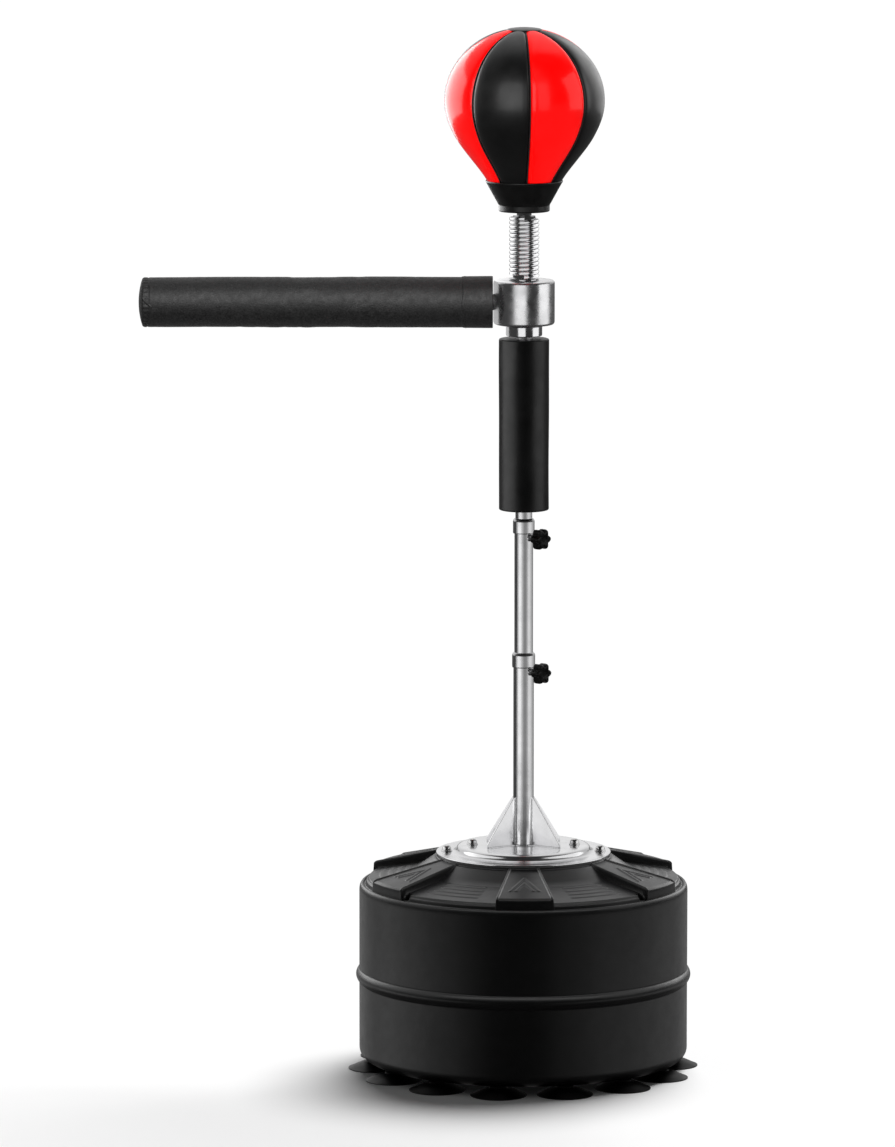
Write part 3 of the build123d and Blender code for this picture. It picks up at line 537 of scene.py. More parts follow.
def tank_degrees(well):
    """Directions of the mesh's columns: close together at spoke edges and round the filler's well."""
    degrees = list(np.arange(0, 360, 0.5))
    for k in range(SPOKES):
        for side in (-1, 1):
            degrees += list(k * 60 + side * (SPOKE_HALF_DEG + np.arange(-2.0, 0.9, 0.14)))
    well_deg = math.degrees(math.atan2(well[0], -well[1]))
    degrees += list(well_deg + np.arange(-14, 14, 0.25))
    return np.unique(np.round(np.array(degrees) % 360, 3))


def tank_top(degrees, boss_z, well):
    """Rows of points over the top, from the boss out to the lip bead."""
    radii = np.concatenate([
        np.linspace(0.02, BOSS_R - 0.003, 6), np.linspace(BOSS_R - 0.002, BOSS_R + 0.002, 14),
        np.linspace(BOSS_R + 0.003, 0.207, 96), np.linspace(0.2075, 0.2212, 52)])
    r, turn = np.meshgrid(radii, degrees, indexing="ij")
    x, y = r * np.sin(np.radians(turn)), -r * np.cos(np.radians(turn))
    z = tank_pocket_z(r, boss_z)
    amount, spoke_z = tank_relief(r, turn, boss_z)
    outside_boss = smooth((r - BOSS_R + 0.0006) / 0.0016)
    rib_up, notch_z = 0.0009, boss_z - 0.044
    z = z + rib_up * pocket_ribs(r, turn) * (1 - amount) * outside_boss
    z = z + (notch_z - z) * corner_notches(r, turn) * (1 - amount)
    z = z + (spoke_z - z) * amount * outside_boss
    in_well = 1 - step_up(np.hypot(x - well[0], y - well[1]) - WELL_R, 0.0018)
    z = z + (boss_z - WELL_UNDER_BOSS - z) * in_well
    return list(np.stack([x, y, z], 2))


def build_tank():
    """The blow-moulded tank as one closed skin: spoked top, ribbed barrel, rounded foot."""
    reach, low, boss_z = size_of("base_tank")
    well = place_of("filler_cap")
    degrees = tank_degrees(well)
    rows = tank_top(degrees, boss_z, well)
    angles = np.radians(degrees)
    for radius, height in barrel_side(reach - RIB_OUT, boss_z, low):
        # The moulded wall is never quite round.
        uneven = radius * (1 + 0.0006 * np.sin(3 * angles + 1) * np.sin(height * 19))
        rows.append(circle(uneven, angles - math.pi / 2, height))
    count = len(degrees)
    faces = grid_faces(len(rows), count, wrap_columns=True)
    top, bottom, last = len(rows) * count, len(rows) * count + 1, (len(rows) - 1) * count
    for j in range(count):
        k = (j + 1) % count
        faces.append((top, j, k))
        faces.append((bottom, last + k, last + j))
    verts = [*np.concatenate(rows), (0, 0, boss_z), (0, 0, low)]
    finish_piece(make_mesh("tank_shell", verts, faces, 60), "tank_black", "base", "base_tank")


def build_filler_neck():
    """A short threaded spout that stands in the well."""
    place = place_of("filler_cap")
    well_z, top, neck_r, bore_r = 0.262, 0.277, 0.0245, 0.020
    foot = well_z - 0.002
    neck = lathe("filler_neck", soften([
        (0.025, foot, 0), (neck_r, well_z + 0.002, 0.001), (neck_r, top, 0.0008),
        (bore_r, top, 0.0008), (bore_r, foot, 0)]), 96, place, closed=True)
    finish_piece(neck, "tank_black", "base")
    share = np.linspace(0, 1, 260)
    turns, rise = 2.4, 0.0096
    thread = circle(neck_r - 0.0001, 2 * math.pi * turns * share, well_z + 0.0035 + rise * share, place)
    finish_piece(sweep("filler_neck_thread", thread, 0.0005), "tank_black", "base")


def build_filler_cap():
    """A cap with grip ribs round its side, a sunk face and a finger bar across it."""
    place = place_of("filler_cap")
    radius, low, high = size_of("filler_cap")
    ceiling, bore_r, face, middle_r = 0.2792, 0.0252, high - 0.0024, 0.004
    turn = whole_turn(360)
    grip = 0.0008 * smooth(0.5 + 1.4 * np.cos(24 * turn))
    outline = [(bore_r, low, 0), (radius - 0.0016, low, 0), (radius - 0.0008, low + 0.0008, 1),
               (radius - 0.0008, high - 0.005, 1), (radius - 0.0014, high - 0.0025, 0.6),
               (radius - 0.0030, high - 0.0012, 0), (radius - 0.006, high - 0.001, 0),
               (radius - 0.008, high - 0.0022, 0), (middle_r, face, 0), (middle_r, ceiling, 0),
               (bore_r, ceiling, 0)]
    verts = np.concatenate([circle(r + grip * ribbed, turn, z, place) for r, z, ribbed in outline])
    faces = grid_faces(len(outline), len(turn), wrap_rows=True, wrap_columns=True)
    cap = make_mesh("filler_cap_shell", verts, faces, 35)
    plug = lathe("filler_cap_middle", soften([
        (0, face, 0), (0.0045, face, 0.0002), (0.0045, ceiling, 0.0002), (0, ceiling, 0)]), 48, place)
    bar = soft_box("filler_cap_grip", (0.036, 0.006, 0.0024), (*place, high - 0.0012), 0.0009)
    finish_piece(join("filler_cap_shell", [cap, plug, bar]), "knob_black", "filler_cap_body", "filler_cap")


def build_cups():
    """Soft umbrellas: a flared skirt that thins to its rim, a waist, and a stem in the tank."""
    waist_r, hollow_r, hollow_up, crown_up = 0.0125, 0.0335, 0.0064, 0.0092
    stem = [(0.0118, 0.0112), (0.0115, 0.0125), (0.012, 0.0138), (0.0088, 0.0142), (0.0088, 0.021),
            (0, 0.0225)]
    for n in range(1, CUPS + 1):
        node = f"suction_cup_{n:02d}"
        rim = size_of(node)[0]
        under = []
        for t in np.linspace(1, 0.1, 10):
            under.append((hollow_r * (1 - t), hollow_up * math.sin(0.5 * math.pi * t)))
        skirt = [(rim - 0.0006, 0.0), (rim, 0.0005), (rim, 0.0011)]
        for t in np.linspace(0, 1, 18)[1:]:
            swell = math.sin(0.5 * math.pi * t) ** 1.25 * (0.86 + 0.14 * t)
            skirt.append((rim - t * (rim - waist_r), 0.0013 + crown_up * swell))
        outline = [(0.0, under[0][1]), *under[1:], (hollow_r, 0.0001), *skirt, *stem]
        cup = lathe(f"cup_{n:02d}", outline, 72, place_of(node), sharp_deg=60)
        finish_piece(cup, "cup_rubber", "base", node)


# ---- plate and fins ----
# The plate's flat ring is RING_UP thick. The fins keep off the front of the pole and are twice FIN_HALF thick.
RING_UP = 0.0025
FIN_DEGS = (58, 122, 238, 302)
FIN_HALF = 0.0015


def build_plate():
    """A dished disc: a flat ring, a step and a raised middle."""
    radius, low, high = size_of("mounting_plate")
    edge, under = low + RING_UP, high - 0.0025
    corners = [(0, high, 0), (0.0868, high, 0.0035), (0.0905, high - 0.0018, 0.003),
               (0.0925, edge + 0.0022, 0.003), (0.0965, edge, 0.004), (radius - 0.0032, edge, 0.003),
               (radius - 0.0008, edge + 0.0002, 0.0012), (radius, edge - 0.0012, 0.0012),
               (radius - 0.001, low, 0.001), (0.095, low, 0), (0.085, under, 0), (0, under, 0)]
    finish_piece(lathe("plate_disc", soften(corners), 220), "chrome", "base", "mounting_plate")


def fin_blade(name, outline):
    """A thin plate with softened edges, standing on the XZ plane."""
    count = len(outline)
    verts = [(r, side * FIN_HALF, z) for side in (-1, 1) for r, z in outline]
    faces = [tuple(range(count))[::-1], tuple(range(count, 2 * count))]
    faces += [(i, (i + 1) % count, (i + 1) % count + count, i + count) for i in range(count)]
    blade = make_mesh(name, verts, faces)
    bm = bmesh.new()
    bm.from_mesh(blade.data)
    bevel_all(bm, 0.0005)
    bm.to_mesh(blade.data)
    bm.free()
    shade(blade.data, 50)
    return blade


def build_fins():
    """Four thin triangular fins with a bead of weld down the tube and along the foot."""
    foot_z, top_z = (corner.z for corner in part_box("gusset_1"))
    tube_r = size_of("lower_tube")[0]
    foot_r, top_r, sunk = 0.059, 0.017, 0.0002
    outline = [(tube_r - 0.001, foot_z - sunk), (foot_r, foot_z - sunk), (foot_r, foot_z + 0.004),
               (top_r, top_z), (tube_r - 0.001, top_z)]
    for n, front_deg in enumerate(FIN_DEGS, 1):
        name = f"fin_{n}"
        parts = [fin_blade(name, outline)]
        for y in (-FIN_HALF - 0.0003, FIN_HALF + 0.0003):
            foot = [(r, y, foot_z + 0.0002) for r in np.linspace(tube_r, foot_r - 0.001, 60)]
            rise = [(tube_r + 0.0002, y, z) for z in np.linspace(foot_z, top_z - 0.001, 60)]
            parts.append(sweep(f"{name}_foot_weld", foot, 0.0009, lumps=0.2))
            parts.append(sweep(f"{name}_rise_weld", rise, 0.0008, lumps=0.2))
        fin = join(name, parts)
        turn = math.radians(front_deg - 90)
        cos, sin = math.cos(turn), math.sin(turn)
        move_points(fin, lambda p: np.stack([
            p[:, 0] * cos - p[:, 1] * sin, p[:, 0] * sin + p[:, 1] * cos, p[:, 2]], 1))
        finish_piece(fin, "chrome", "base", gusset_towards(cos, sin))


def gusset_towards(x, y):
    """The CAD fin that points this way, found by its box."""
    nodes = [f"gusset_{n}" for n in range(1, len(FIN_DEGS) + 1)]
    return max(nodes, key=lambda node: Vector(place_of(node)).normalized().dot(Vector((x, y))))


def build_bolts():
    """Domed heads on washers: an outer pair on the flat ring and an inner pair on the raised middle."""
    head_r, head_up, skirt_up, shank_r = 0.0064, 0.0070, 0.0011, 0.0038
    washer_r, washer_bore, washer_up = 0.0076, 0.0043, 0.0015
    low, disc_top = (corner.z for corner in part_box("mounting_plate"))
    foot, outer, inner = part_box("plate_bolts")[0].z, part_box("plate_bolts")[1].x - head_r, 0.070
    bolts, washers = [], []
    for x, face in ((outer, low + RING_UP), (-outer, low + RING_UP), (inner, disc_top), (-inner, disc_top)):
        seat = face + washer_up
        dome = [(0.0, foot), (shank_r, foot), (shank_r, seat), (head_r - 0.0003, seat),
                (head_r, seat + 0.0004), (head_r, seat + skirt_up)]
        for t in np.linspace(0.1, 1.5, 16):
            dome.append((head_r * math.cos(t), seat + skirt_up + (head_up - skirt_up) * math.sin(t)))
        bolts.append(lathe("bolt", [*dome, (0.0, seat + head_up)], 48, (x, 0)))
        corners = [(washer_r, face, 0.0004), (washer_r, seat, 0.0005), (washer_bore, seat, 0.0002),
                   (washer_bore, face, 0.0002)]
        washers.append(lathe("washer", soften(corners), 48, (x, 0), closed=True))
    finish_piece(join("bolt_heads", bolts), "bolt_steel", "base", "plate_bolts")
    finish_piece(join("washers", washers), "bolt_steel", "base", "plate_washers")


# ---- pole ----
TUBE_R = {"lower": 0.014, "middle": 0.01275, "upper": 0.0115}


def build_tubes():
    """Three tubes that slide in one another, and the weld round the lowest one's foot."""
    for stage, body, bore_r in (("lower", "base", 0.013), ("middle", "middle_pole", 0.01175),
                                ("upper", "upper_pole", 0.0105)):
        node = f"{stage}_tube"
        _, low, high = size_of(node)
        tube = ring(f"pole_{stage}", TUBE_R[stage], bore_r, low, high, 0.0003, 160)
        finish_piece(tube, "chrome", body, node)
    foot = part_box("lower_tube")[0].z
    loop = circle(TUBE_R["lower"] + 0.0003, whole_turn(180), foot + 0.0003)
    weld = sweep("pole_foot_weld", loop, 0.0013, loop=True, lumps=0.12)
    finish_piece(weld, "chrome", "base")


def build_ferrule(node, name, body, tube_r, inner_r):
    """A collar on a tube's top, stepped in to the next tube."""
    radius, low, high = size_of(node)
    lip = high - 0.0034
    bore_r = tube_r + 0.00002
    corners = [(bore_r, low, 0.0003), (radius - 0.0003, low, 0.0008), (radius, low + 0.0012, 0.001),
               (radius, high - 0.0032, 0.0022), (radius - 0.0016, high - 0.0004, 0.001),
               (inner_r + 0.0002, high, 0.0006), (inner_r + 0.00005, lip, 0), (bore_r, lip, 0)]
    finish_piece(lathe(name, soften(corners), 160, closed=True), "chrome", body, node)


def build_knob(node, name, body):
    """A six-lobed knob with a rounded rim, a dished face and a short boss, turned 45 degrees right."""
    cad = frame["nodes"][node]
    lo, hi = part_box(node)
    centre_z, root2 = (lo.z + hi.z) / 2, math.sqrt(2)
    near = min((p.x - p.y) / root2 for p in (cad.matrix_world @ v.co for v in cad.data.vertices))
    lobe_out, lobe_in, depth = 0.0150, 0.0112, 0.014
    turn = whole_turn(240)
    wave = 0.5 + 0.5 * np.cos(6 * (turn - math.pi / 6) + math.pi)
    star = lobe_in + (lobe_out - lobe_in) * wave ** 0.75
    back, front = near + 0.0012, near + 0.0012 + depth
    boss = [(0.00305, near), (0.0062, near), (0.0068, near + 0.0006), (0.0070, back)]
    lobed = [(0.0022, back), (0.0009, back + 0.0003), (0.0002, back + 0.0013), (0, back + 0.003),
             (0, front - 0.0050), (0.0003, front - 0.0032), (0.0011, front - 0.0016),
             (0.0026, front - 0.0005), (0.0044, front)]
    dish = [(0.0052, front - 0.0003), (0.0047, front - 0.0009), (0.0028, front - 0.0011)]
    loops = [(r, out) for r, out in boss] + [(star - inset, out) for inset, out in lobed] + dish
    verts = []
    for r, out in loops:
        across, up = r * np.cos(turn), r * np.sin(turn)
        verts += list(np.stack([(out + across) / root2, (across - out) / root2, centre_z + up], 1))
    faces = grid_faces(len(loops), len(turn), wrap_columns=True) + end_caps(len(loops), len(turn))
    finish_piece(make_mesh(name, verts, faces, 50), "knob_black", body, node)


def build_pad():
    """The foam sleeve: rounded ends, a slightly uneven skin and a faint glued seam at the back."""
    radius, low, high = size_of("pole_pad")
    bore, edge = 0.0117, 0.0022
    rows = soften([(bore, low, 0.0015), (radius, low, edge), (radius, high, edge), (bore, high, 0.0015)], 7)
    side = [(radius, z) for z in np.linspace(low + 0.004, high - 0.004, 90)]
    first = max(i for i, p in enumerate(rows) if p[1] < (low + high) / 2) + 1
    pad = lathe("sleeve_pad", rows[:first] + side + rows[first:], 160, closed=True, sharp_deg=80)

    def uneven(p):
        turn = np.arctan2(p[:, 1], p[:, 0])
        r = np.hypot(p[:, 0], p[:, 1])
        on_skin = smooth((r - 0.02) / 0.01)
        swell = 0.00018 * np.sin(2 * turn + p[:, 2] * 21) + 0.00012 * np.sin(5 * turn - p[:, 2] * 47)
        seam = -0.0006 * np.exp(-(((turn - math.pi / 2) * radius / 0.0007) ** 2))
        return circle(r + on_skin * (swell + seam - 0.0002), turn, p[:, 2])

    move_points(pad, uneven)
    finish_piece(pad, "pad_black", "upper_pole", "pole_pad")


# ---- hub and bar ----
def build_hub():
    """A bored housing with a race for a bearing at each end, over a collar and its boss."""
    radius, low, high = size_of("hub")
    bore_r, race_r, race_up, shoulder_up = 0.0150, 0.0176, 0.013, 0.016
    corners = [(race_r, low, 0.0006), (radius, low, 0.005), (radius, high, 0.0045), (race_r, high, 0.0006),
               (race_r, high - race_up, 0), (bore_r, high - shoulder_up, 0), (bore_r, low + shoulder_up, 0),
               (race_r, low + race_up, 0)]
    finish_piece(lathe("hub_housing", soften(corners, 9), 220, closed=True), "hub_chrome", "spin_bar", "hub")
    collar_r, collar_low, _ = size_of("support_ring")
    collar_top, spindle_r, boss_top = low - 0.0017, 0.0078, 1.0299
    collar = ring("collar_ring", collar_r, spindle_r, collar_low, collar_top, 0.0014, 160, 0.0003)
    boss = ring("collar_boss", 0.0105, spindle_r, collar_top - 0.0002, boss_top, 0.0003, 96)
    finish_piece(join("collar_ring", [collar, boss]), "chrome", "upper_pole", "support_ring")


def lay_along_bar(piece, bar_z):
    """Lays a piece that was built upwards from the origin along -X, at the bar's height."""
    move_points(piece, lambda p: np.stack([-p[:, 2], p[:, 1], p[:, 0] + bar_z], 1))


CLOTH = {
    "quality": 6, "mass": 0.2, "tension_stiffness": 30, "compression_stiffness": 30,
    "bending_stiffness": 0.2, "use_pressure": True, "uniform_pressure_force": 4, "shrink_min": -0.02,
    "vertex_group_mass": "held",
}
CLOTH_FRAMES = 20
FOAM_SHARE = 0.28  # of the loose cloth's ripple


def settled_sleeve(near, seam, radius):
    """A sleeve of slightly loose cloth, held at both ends and pressed out by the foam in it.

    Gives the outward movement of each point of a grid along (rows) and around (columns) the bar, less its
    mean. The foam fills the sleeve, so only a share of the loose cloth's ripple shows.
    """
    rows, columns = 100, 72
    along, most = np.linspace(near, seam, rows), 0.0012
    start_r = radius - most
    verts = np.concatenate([circle(start_r, whole_turn(columns), s) for s in along])
    sleeve = make_mesh("loose_sleeve", verts, grid_faces(rows, columns, wrap_columns=True))
    ends = [i for i, s in enumerate(along) if s < near + 0.012 or s > seam - 0.006]
    held = sleeve.vertex_groups.new(name="held")
    held.add([i * columns + j for i in ends for j in range(columns)], 1.0, "REPLACE")
    cloth = sleeve.modifiers.new("cloth", "CLOTH")
    for setting, value in CLOTH.items():
        setattr(cloth.settings, setting, value)
    cloth.settings.effector_weights.gravity = 0
    cloth.point_cache.frame_end = CLOTH_FRAMES
    for frame_number in range(1, CLOTH_FRAMES + 1):
        bpy.context.scene.frame_set(frame_number)
    settled = sleeve.evaluated_get(bpy.context.evaluated_depsgraph_get())
    points = np.array([v.co for v in settled.data.vertices])
    bpy.context.scene.frame_set(1)
    mesh = sleeve.data
    bpy.data.objects.remove(sleeve)
    bpy.data.meshes.remove(mesh)
    out = np.hypot(points[:, 0], points[:, 1]) - start_r
    ripple = FOAM_SHARE * np.clip(out, -most, most).reshape(rows, columns)
    return ripple - ripple.mean()


def sample_wrapped(grid, row_share, turn):
    """Reads a grid between its points: rows by a 0..1 share, columns by an angle."""
    rows, columns = grid.shape
    i = np.clip(row_share, 0, 1) * (rows - 1)
    i0 = np.minimum(np.floor(i).astype(int), rows - 2)
    j = np.mod(turn / (2 * math.pi), 1.0) * columns
    j0 = np.floor(j).astype(int) % columns
    j1 = (j0 + 1) % columns
    di, dj = i - i0, j - np.floor(j)
    low = grid[i0, j0] * (1 - dj) + grid[i0, j1] * dj
    high = grid[i0 + 1, j0] * (1 - dj) + grid[i0 + 1, j1] * dj
    return low * (1 - di) + high * di


def bell(distance, width):
    """1 at a line, falling to 0 either side of it."""
    return np.exp(-((distance / width) ** 2))


def cover_stations(near, far, seam, radius):
    """(radius, distance) along the bar's cover: rolled inner end, side, rolled seam and domed end."""
    stations = [(0.0112, near + 0.0005), (0.020, near + 0.0002), (radius - 0.004, near),
                (radius - 0.0016, near + 0.0003), (radius - 0.0004, near + 0.0014)]
    stations += [(radius, s) for s in np.linspace(near + 0.003, seam - 0.016, 150)]
    stations += [(radius, s) for s in np.linspace(seam - 0.0155, seam - 0.003, 34)]
    stations += [(radius - 0.0002, seam - 0.0022), (radius - 0.0006, seam - 0.0012),
                 (radius - 0.0014, seam - 0.0004)]
    dome_r, rise = radius - 0.0018, far - seam
    sphere = (dome_r**2 + rise**2) / (2 * rise)
    for r in dome_r * np.linspace(1.0, 0.04, 26):
        stations.append((r, far - sphere + math.sqrt(sphere**2 - r**2)))
    return stations


def end_crease(turn, r, s, seam):
    """The folded ridge and furrow that slant over the front of the bar's end."""
    height = r * np.cos(turn)
    crease_at = seam + 0.003 - (0.012 - height)
    crease = 0.0011 * bell(s - crease_at, 0.0013) - 0.0006 * bell(s - crease_at - 0.0024, 0.0013)
    on_front = smooth(np.cos(turn - math.pi * 1.5) * 2)
    return crease * on_front * smooth((height + 0.005) / 0.004) * smooth((0.016 - height) / 0.005)


def build_bar():
    """The bar's fabric cover over its foam: slow sags, a puckered end seam and a lined bore."""
    bar_z, radius, near, far = lying_size_of("bar_cover")
    turn = whole_turn(200)
    steps, seam = len(turn), far - 0.0052
    settled = settled_sleeve(near, seam - 0.003, radius)
    rows = []
    for r, s in cover_stations(near, far, seam, radius):
        on_side = smooth((r - radius * 0.8) / (radius * 0.18))
        sag = 0.00035 * np.sin(2 * turn + 9 * (s - near)) + 0.0002 * np.sin(3 * turn - 31 * (s - near))
        pucker = 0.0003 * np.cos(34 * turn) * bell(seam - 0.004 - s, 0.006)
        groove = -0.0007 * bell(s - (seam - 0.0075 + 0.0022 * np.sin(turn - 0.5)), 0.0009)
        loose = sample_wrapped(settled, (s - near) / (seam - 0.003 - near), turn)
        w = r + on_side * (sag + pucker + groove + loose - 0.0004) + end_crease(turn, r, s, seam)
        rows.append(circle(w, turn, s))
    bore_r, bore_end = 0.0112, far - 0.012
    lining = [circle(bore_r, turn, bore_end), circle(bore_r, turn, near + 0.003)]
    last, inner = (len(rows) - 1) * steps, len(rows) * steps + 1
    verts = [*np.concatenate(rows), (0, 0, far), *np.concatenate(lining), (0, 0, bore_end)]
    faces = grid_faces(len(rows), steps, wrap_columns=True)
    faces += [(inner - 1, last + j, last + (j + 1) % steps) for j in range(steps)]
    faces += grid_faces(2, steps, wrap_columns=True, start=inner)
    faces += [(inner + steps + j, inner + steps + (j + 1) % steps, (j + 1) % steps, j) for j in range(steps)]
    faces += [(len(verts) - 1, inner + (j + 1) % steps, inner + j) for j in range(steps)]
    cover = make_mesh("bar_sleeve", verts, faces, 80)
    lay_along_bar(cover, bar_z)
    finish_piece(cover, "bar_fabric", "spin_bar", "bar_cover", "bar_foam")


def build_cuff():
    """The band round the bar's inner end: a wavy outer edge with a row of stitches."""
    bar_z, radius, near, far = lying_size_of("bar_cuff")
    turn, inner = whole_turn(240), radius - 0.0014
    wave = 0.0006 * np.sin(3 * turn + 0.6) + 0.0004 * np.sin(7 * turn)
    loops = [(inner, near, 0), (radius - 0.0007, near - 0.0002, 0), (radius - 0.0002, near + 0.0004, 0),
             (radius, near + 0.0014, 0)]
    loops += [(radius, s, 0) for s in np.linspace(near + 0.003, far - 0.003, 40)]
    loops += [(radius - 0.0001, far - 0.0012, 1), (radius - 0.0004, far - 0.0003, 1),
              (radius - 0.0009, far, 1), (inner, far - 0.0001, 1)]
    verts = []
    for r, s, wavy in loops:
        dip = 0.00025 * np.sin(2 * turn + 40 * s) * (r > inner + 0.0003)
        verts += list(circle(r - 0.0003 + dip, turn, s + wave * wavy))
    faces = grid_faces(len(loops), len(turn), wrap_rows=True, wrap_columns=True)
    cuff = make_mesh("bar_band", verts, faces, 70)
    lay_along_bar(cuff, bar_z)
    finish_piece(cuff, "cuff_fabric", "spin_bar", "bar_cuff")
    stitches = []
    lift = 0.0003 * np.cos(np.linspace(-1.3, 1.3, 5))
    for middle in whole_turn(54):
        arc = middle + np.linspace(-0.5, 0.5, 5) * 0.0026 / radius
        path = circle(radius - 0.0004 + lift, arc, far - 0.0042 + np.interp(middle, turn, wave))
        stitches.append(sweep("stitch", path, 0.00028, 6))
    thread = join("bar_band_stitches", stitches)
    lay_along_bar(thread, bar_z)
    finish_piece(thread, "cuff_fabric", "spin_bar")


# ---- spring ----
SPRING_R = 0.0205
WIRE_R = 0.0026
COILS = 14.0
FLAT_COILS = 0.9  # at each end, wound without a gap


def coil_rise(u, height):
    """Height along the coils: closed at both ends, evenly open between."""
    closed = 2 * WIRE_R * 1.02
    free = (height - 2 * FLAT_COILS * closed) / (COILS - 2 * FLAT_COILS)
    pitch = np.where((u < FLAT_COILS) | (u > COILS - FLAT_COILS), closed, free)
    eased = np.convolve(np.pad(pitch, 20, mode="edge"), np.ones(41) / 41, mode="valid")
    rise = np.concatenate([[0], np.cumsum((eased[1:] + eased[:-1]) / 2 * np.diff(u))])
    return rise * height / rise[-1]


def build_spring():
    """One coil spring in two halves, split at its middle coil."""
    _, low, high = size_of("ball_spring")
    steps, sides = int(COILS * 64), 14
    u = np.linspace(0, COILS, steps + 1)
    turn = 2 * math.pi * u - math.pi / 2
    path = circle(SPRING_R - WIRE_R, turn, low + WIRE_R + coil_rise(u, high - low - 2 * WIRE_R))
    tangent = np.gradient(path, axis=0)
    tangent /= np.linalg.norm(tangent, axis=1)[:, None]
    outward = circle(1, turn, 0)
    upward = np.cross(outward, tangent)
    a = whole_turn(sides)[:, None]
    rings = [path[i] + WIRE_R * (np.cos(a) * outward[i] + np.sin(a) * upward[i]) for i in range(steps + 1)]
    middle = steps // 2
    middle_z, grip = path[middle][2], 0.003
    for name, part, bodies, span in (
        ("spring_lower_half", rings[: middle + 1], ("upper_pole", "spring_body"), (low + grip, middle_z)),
        ("spring_upper_half", rings[middle:], ("spring_body", "ball"), (middle_z, high - grip)),
    ):
        faces = grid_faces(len(part), sides, wrap_columns=True) + end_caps(len(part), sides)
        piece = make_mesh(name, np.concatenate(part), faces, 60)
        piece.data.materials.append(M["spring_chrome"])
        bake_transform(piece)
        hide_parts("ball_spring")


# ---- ball ----
# The side rises from FOOT_R at FOOT_TAPER, through CHEEK (radius, height), to its widest at MIDDLE_Z.
PANELS = 8
PANEL_FIRST_DEG = 3.8
FOOT_R = 0.0364
FOOT_TAPER = 0.62
CHEEK = (0.0947, 1.2829)
MIDDLE_Z = 1.3319


def crown_height():
    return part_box("ball_panels_black")[1].z + 0.0003


def ball_profile():
    """The ball's side from foot to crown: straight taper, a swelling cheek, then an ellipse."""
    foot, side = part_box("ball_panels_black")
    rim_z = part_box("neck_cone")[1].z
    rim_r = FOOT_R + (rim_z - foot.z) * FOOT_TAPER
    points = [(FOOT_R + (z - foot.z) * FOOT_TAPER, z) for z in np.linspace(foot.z, rim_z, 14)[:-1]]
    rim, cheek, widest = np.array((rim_r, rim_z)), np.array(CHEEK), np.array((side.x, MIDDLE_Z))
    at_rim, at_widest = np.array((FOOT_TAPER, 1.0)) * 0.058, np.array((0.0, 0.052))
    at_cheek = (widest - rim) * 0.5
    for a, b, ta, tb, steps in ((rim, cheek, at_rim, at_cheek, 34),
                                (cheek, widest, at_cheek, at_widest, 28)):
        for t in np.linspace(0, 1, steps, endpoint=False):
            h = (2 * t**3 - 3 * t**2 + 1, t**3 - 2 * t**2 + t, -2 * t**3 + 3 * t**2, t**3 - t**2)
            points.append(tuple(h[0] * a + h[1] * ta + h[2] * b + h[3] * tb))
    for t in np.linspace(0, math.pi / 2 - 0.07, 64):
        points.append((side.x * math.cos(t), MIDDLE_Z + (crown_height() - MIDDLE_Z) * math.sin(t)))
    return np.array(points)


def build_gore(name, start_deg, profile, normals):
    """One sewn panel as a closed thick skin whose long edges roll in to the seams."""
    columns, gap, skin, deepest = 40, 0.0009, 0.0028, 0.0034
    share = np.linspace(0, 1, columns)
    share = 0.35 * (0.5 - 0.5 * np.cos(math.pi * share)) + 0.65 * share
    arc = np.concatenate([[0], np.cumsum(np.linalg.norm(np.diff(profile, axis=0), axis=1))])
    outer, inner = [], []
    for (r, z), normal, length in zip(profile, normals, arc):
        width = r * 2 * math.pi / PANELS
        side = np.minimum(share, 1 - share) * width
        roll = -0.0024 * np.exp(-((side / 0.0017) ** 1.3))
        pull = -0.0007 * bell(side, 0.006) * (1 + 0.25 * np.cos(2 * math.pi * length / 0.0052))
        swell = 0.0007 * (np.sin(math.pi * share) ** 0.8 - 0.6)
        outside = roll + pull + swell * min(1.0, width / 0.05)
        turn = math.radians(start_deg - 90) + (gap / 2 + share * (width - gap)) / r
        for shell, depth in ((outer, outside), (inner, np.maximum(outside - skin, -deepest))):
            shell.append(circle(r + normal[0] * depth, turn, z + normal[1] * depth))
    rows = len(profile)
    count = rows * columns
    faces = grid_faces(rows, columns)
    faces += [tuple(reversed([v + count for v in f])) for f in faces]
    top = (rows - 1) * columns
    for j in range(columns - 1):
        faces.append((j, j + 1, j + 1 + count, j + count))
        faces.append((top + j + 1, top + j, top + j + count, top + j + 1 + count))
    for a in range(0, top, columns):
        b = a + columns
        faces.append((a, a + count, b + count, b))
        faces.append((b - 1, b - 1 + columns, b - 1 + columns + count, b - 1 + count))
    return make_mesh(name, np.concatenate(outer + inner), faces, 70)


def build_ball():
    """Eight gores, red and black by turns, with a cord in each seam."""
    profile = ball_profile()
    tangent = np.gradient(profile, axis=0)
    tangent /= np.linalg.norm(tangent, axis=1)[:, None]
    normals = np.stack([tangent[:, 1], -tangent[:, 0]], 1)
    starts = [PANEL_FIRST_DEG + k * 360 / PANELS for k in range(PANELS)]
    for colour, degrees in (("red", starts[0::2]), ("black", starts[1::2])):
        gores = [build_gore(f"gore_{colour}", start, profile, normals) for start in degrees]
        piece = join(f"gores_{colour}", gores)
        finish_piece(piece, f"leather_{colour}", "ball", f"ball_panels_{colour}")
    sunk = profile - 0.0021 * normals
    cords = []
    for start in starts:
        line = circle(sunk[:, 0], math.radians(start - 90), sunk[:, 1])
        cords.append(sweep("seam", line, 0.00095))
    finish_piece(join("seam_piping", cords), "seal_rubber", "ball")
    build_crown(profile[:, 0].max())


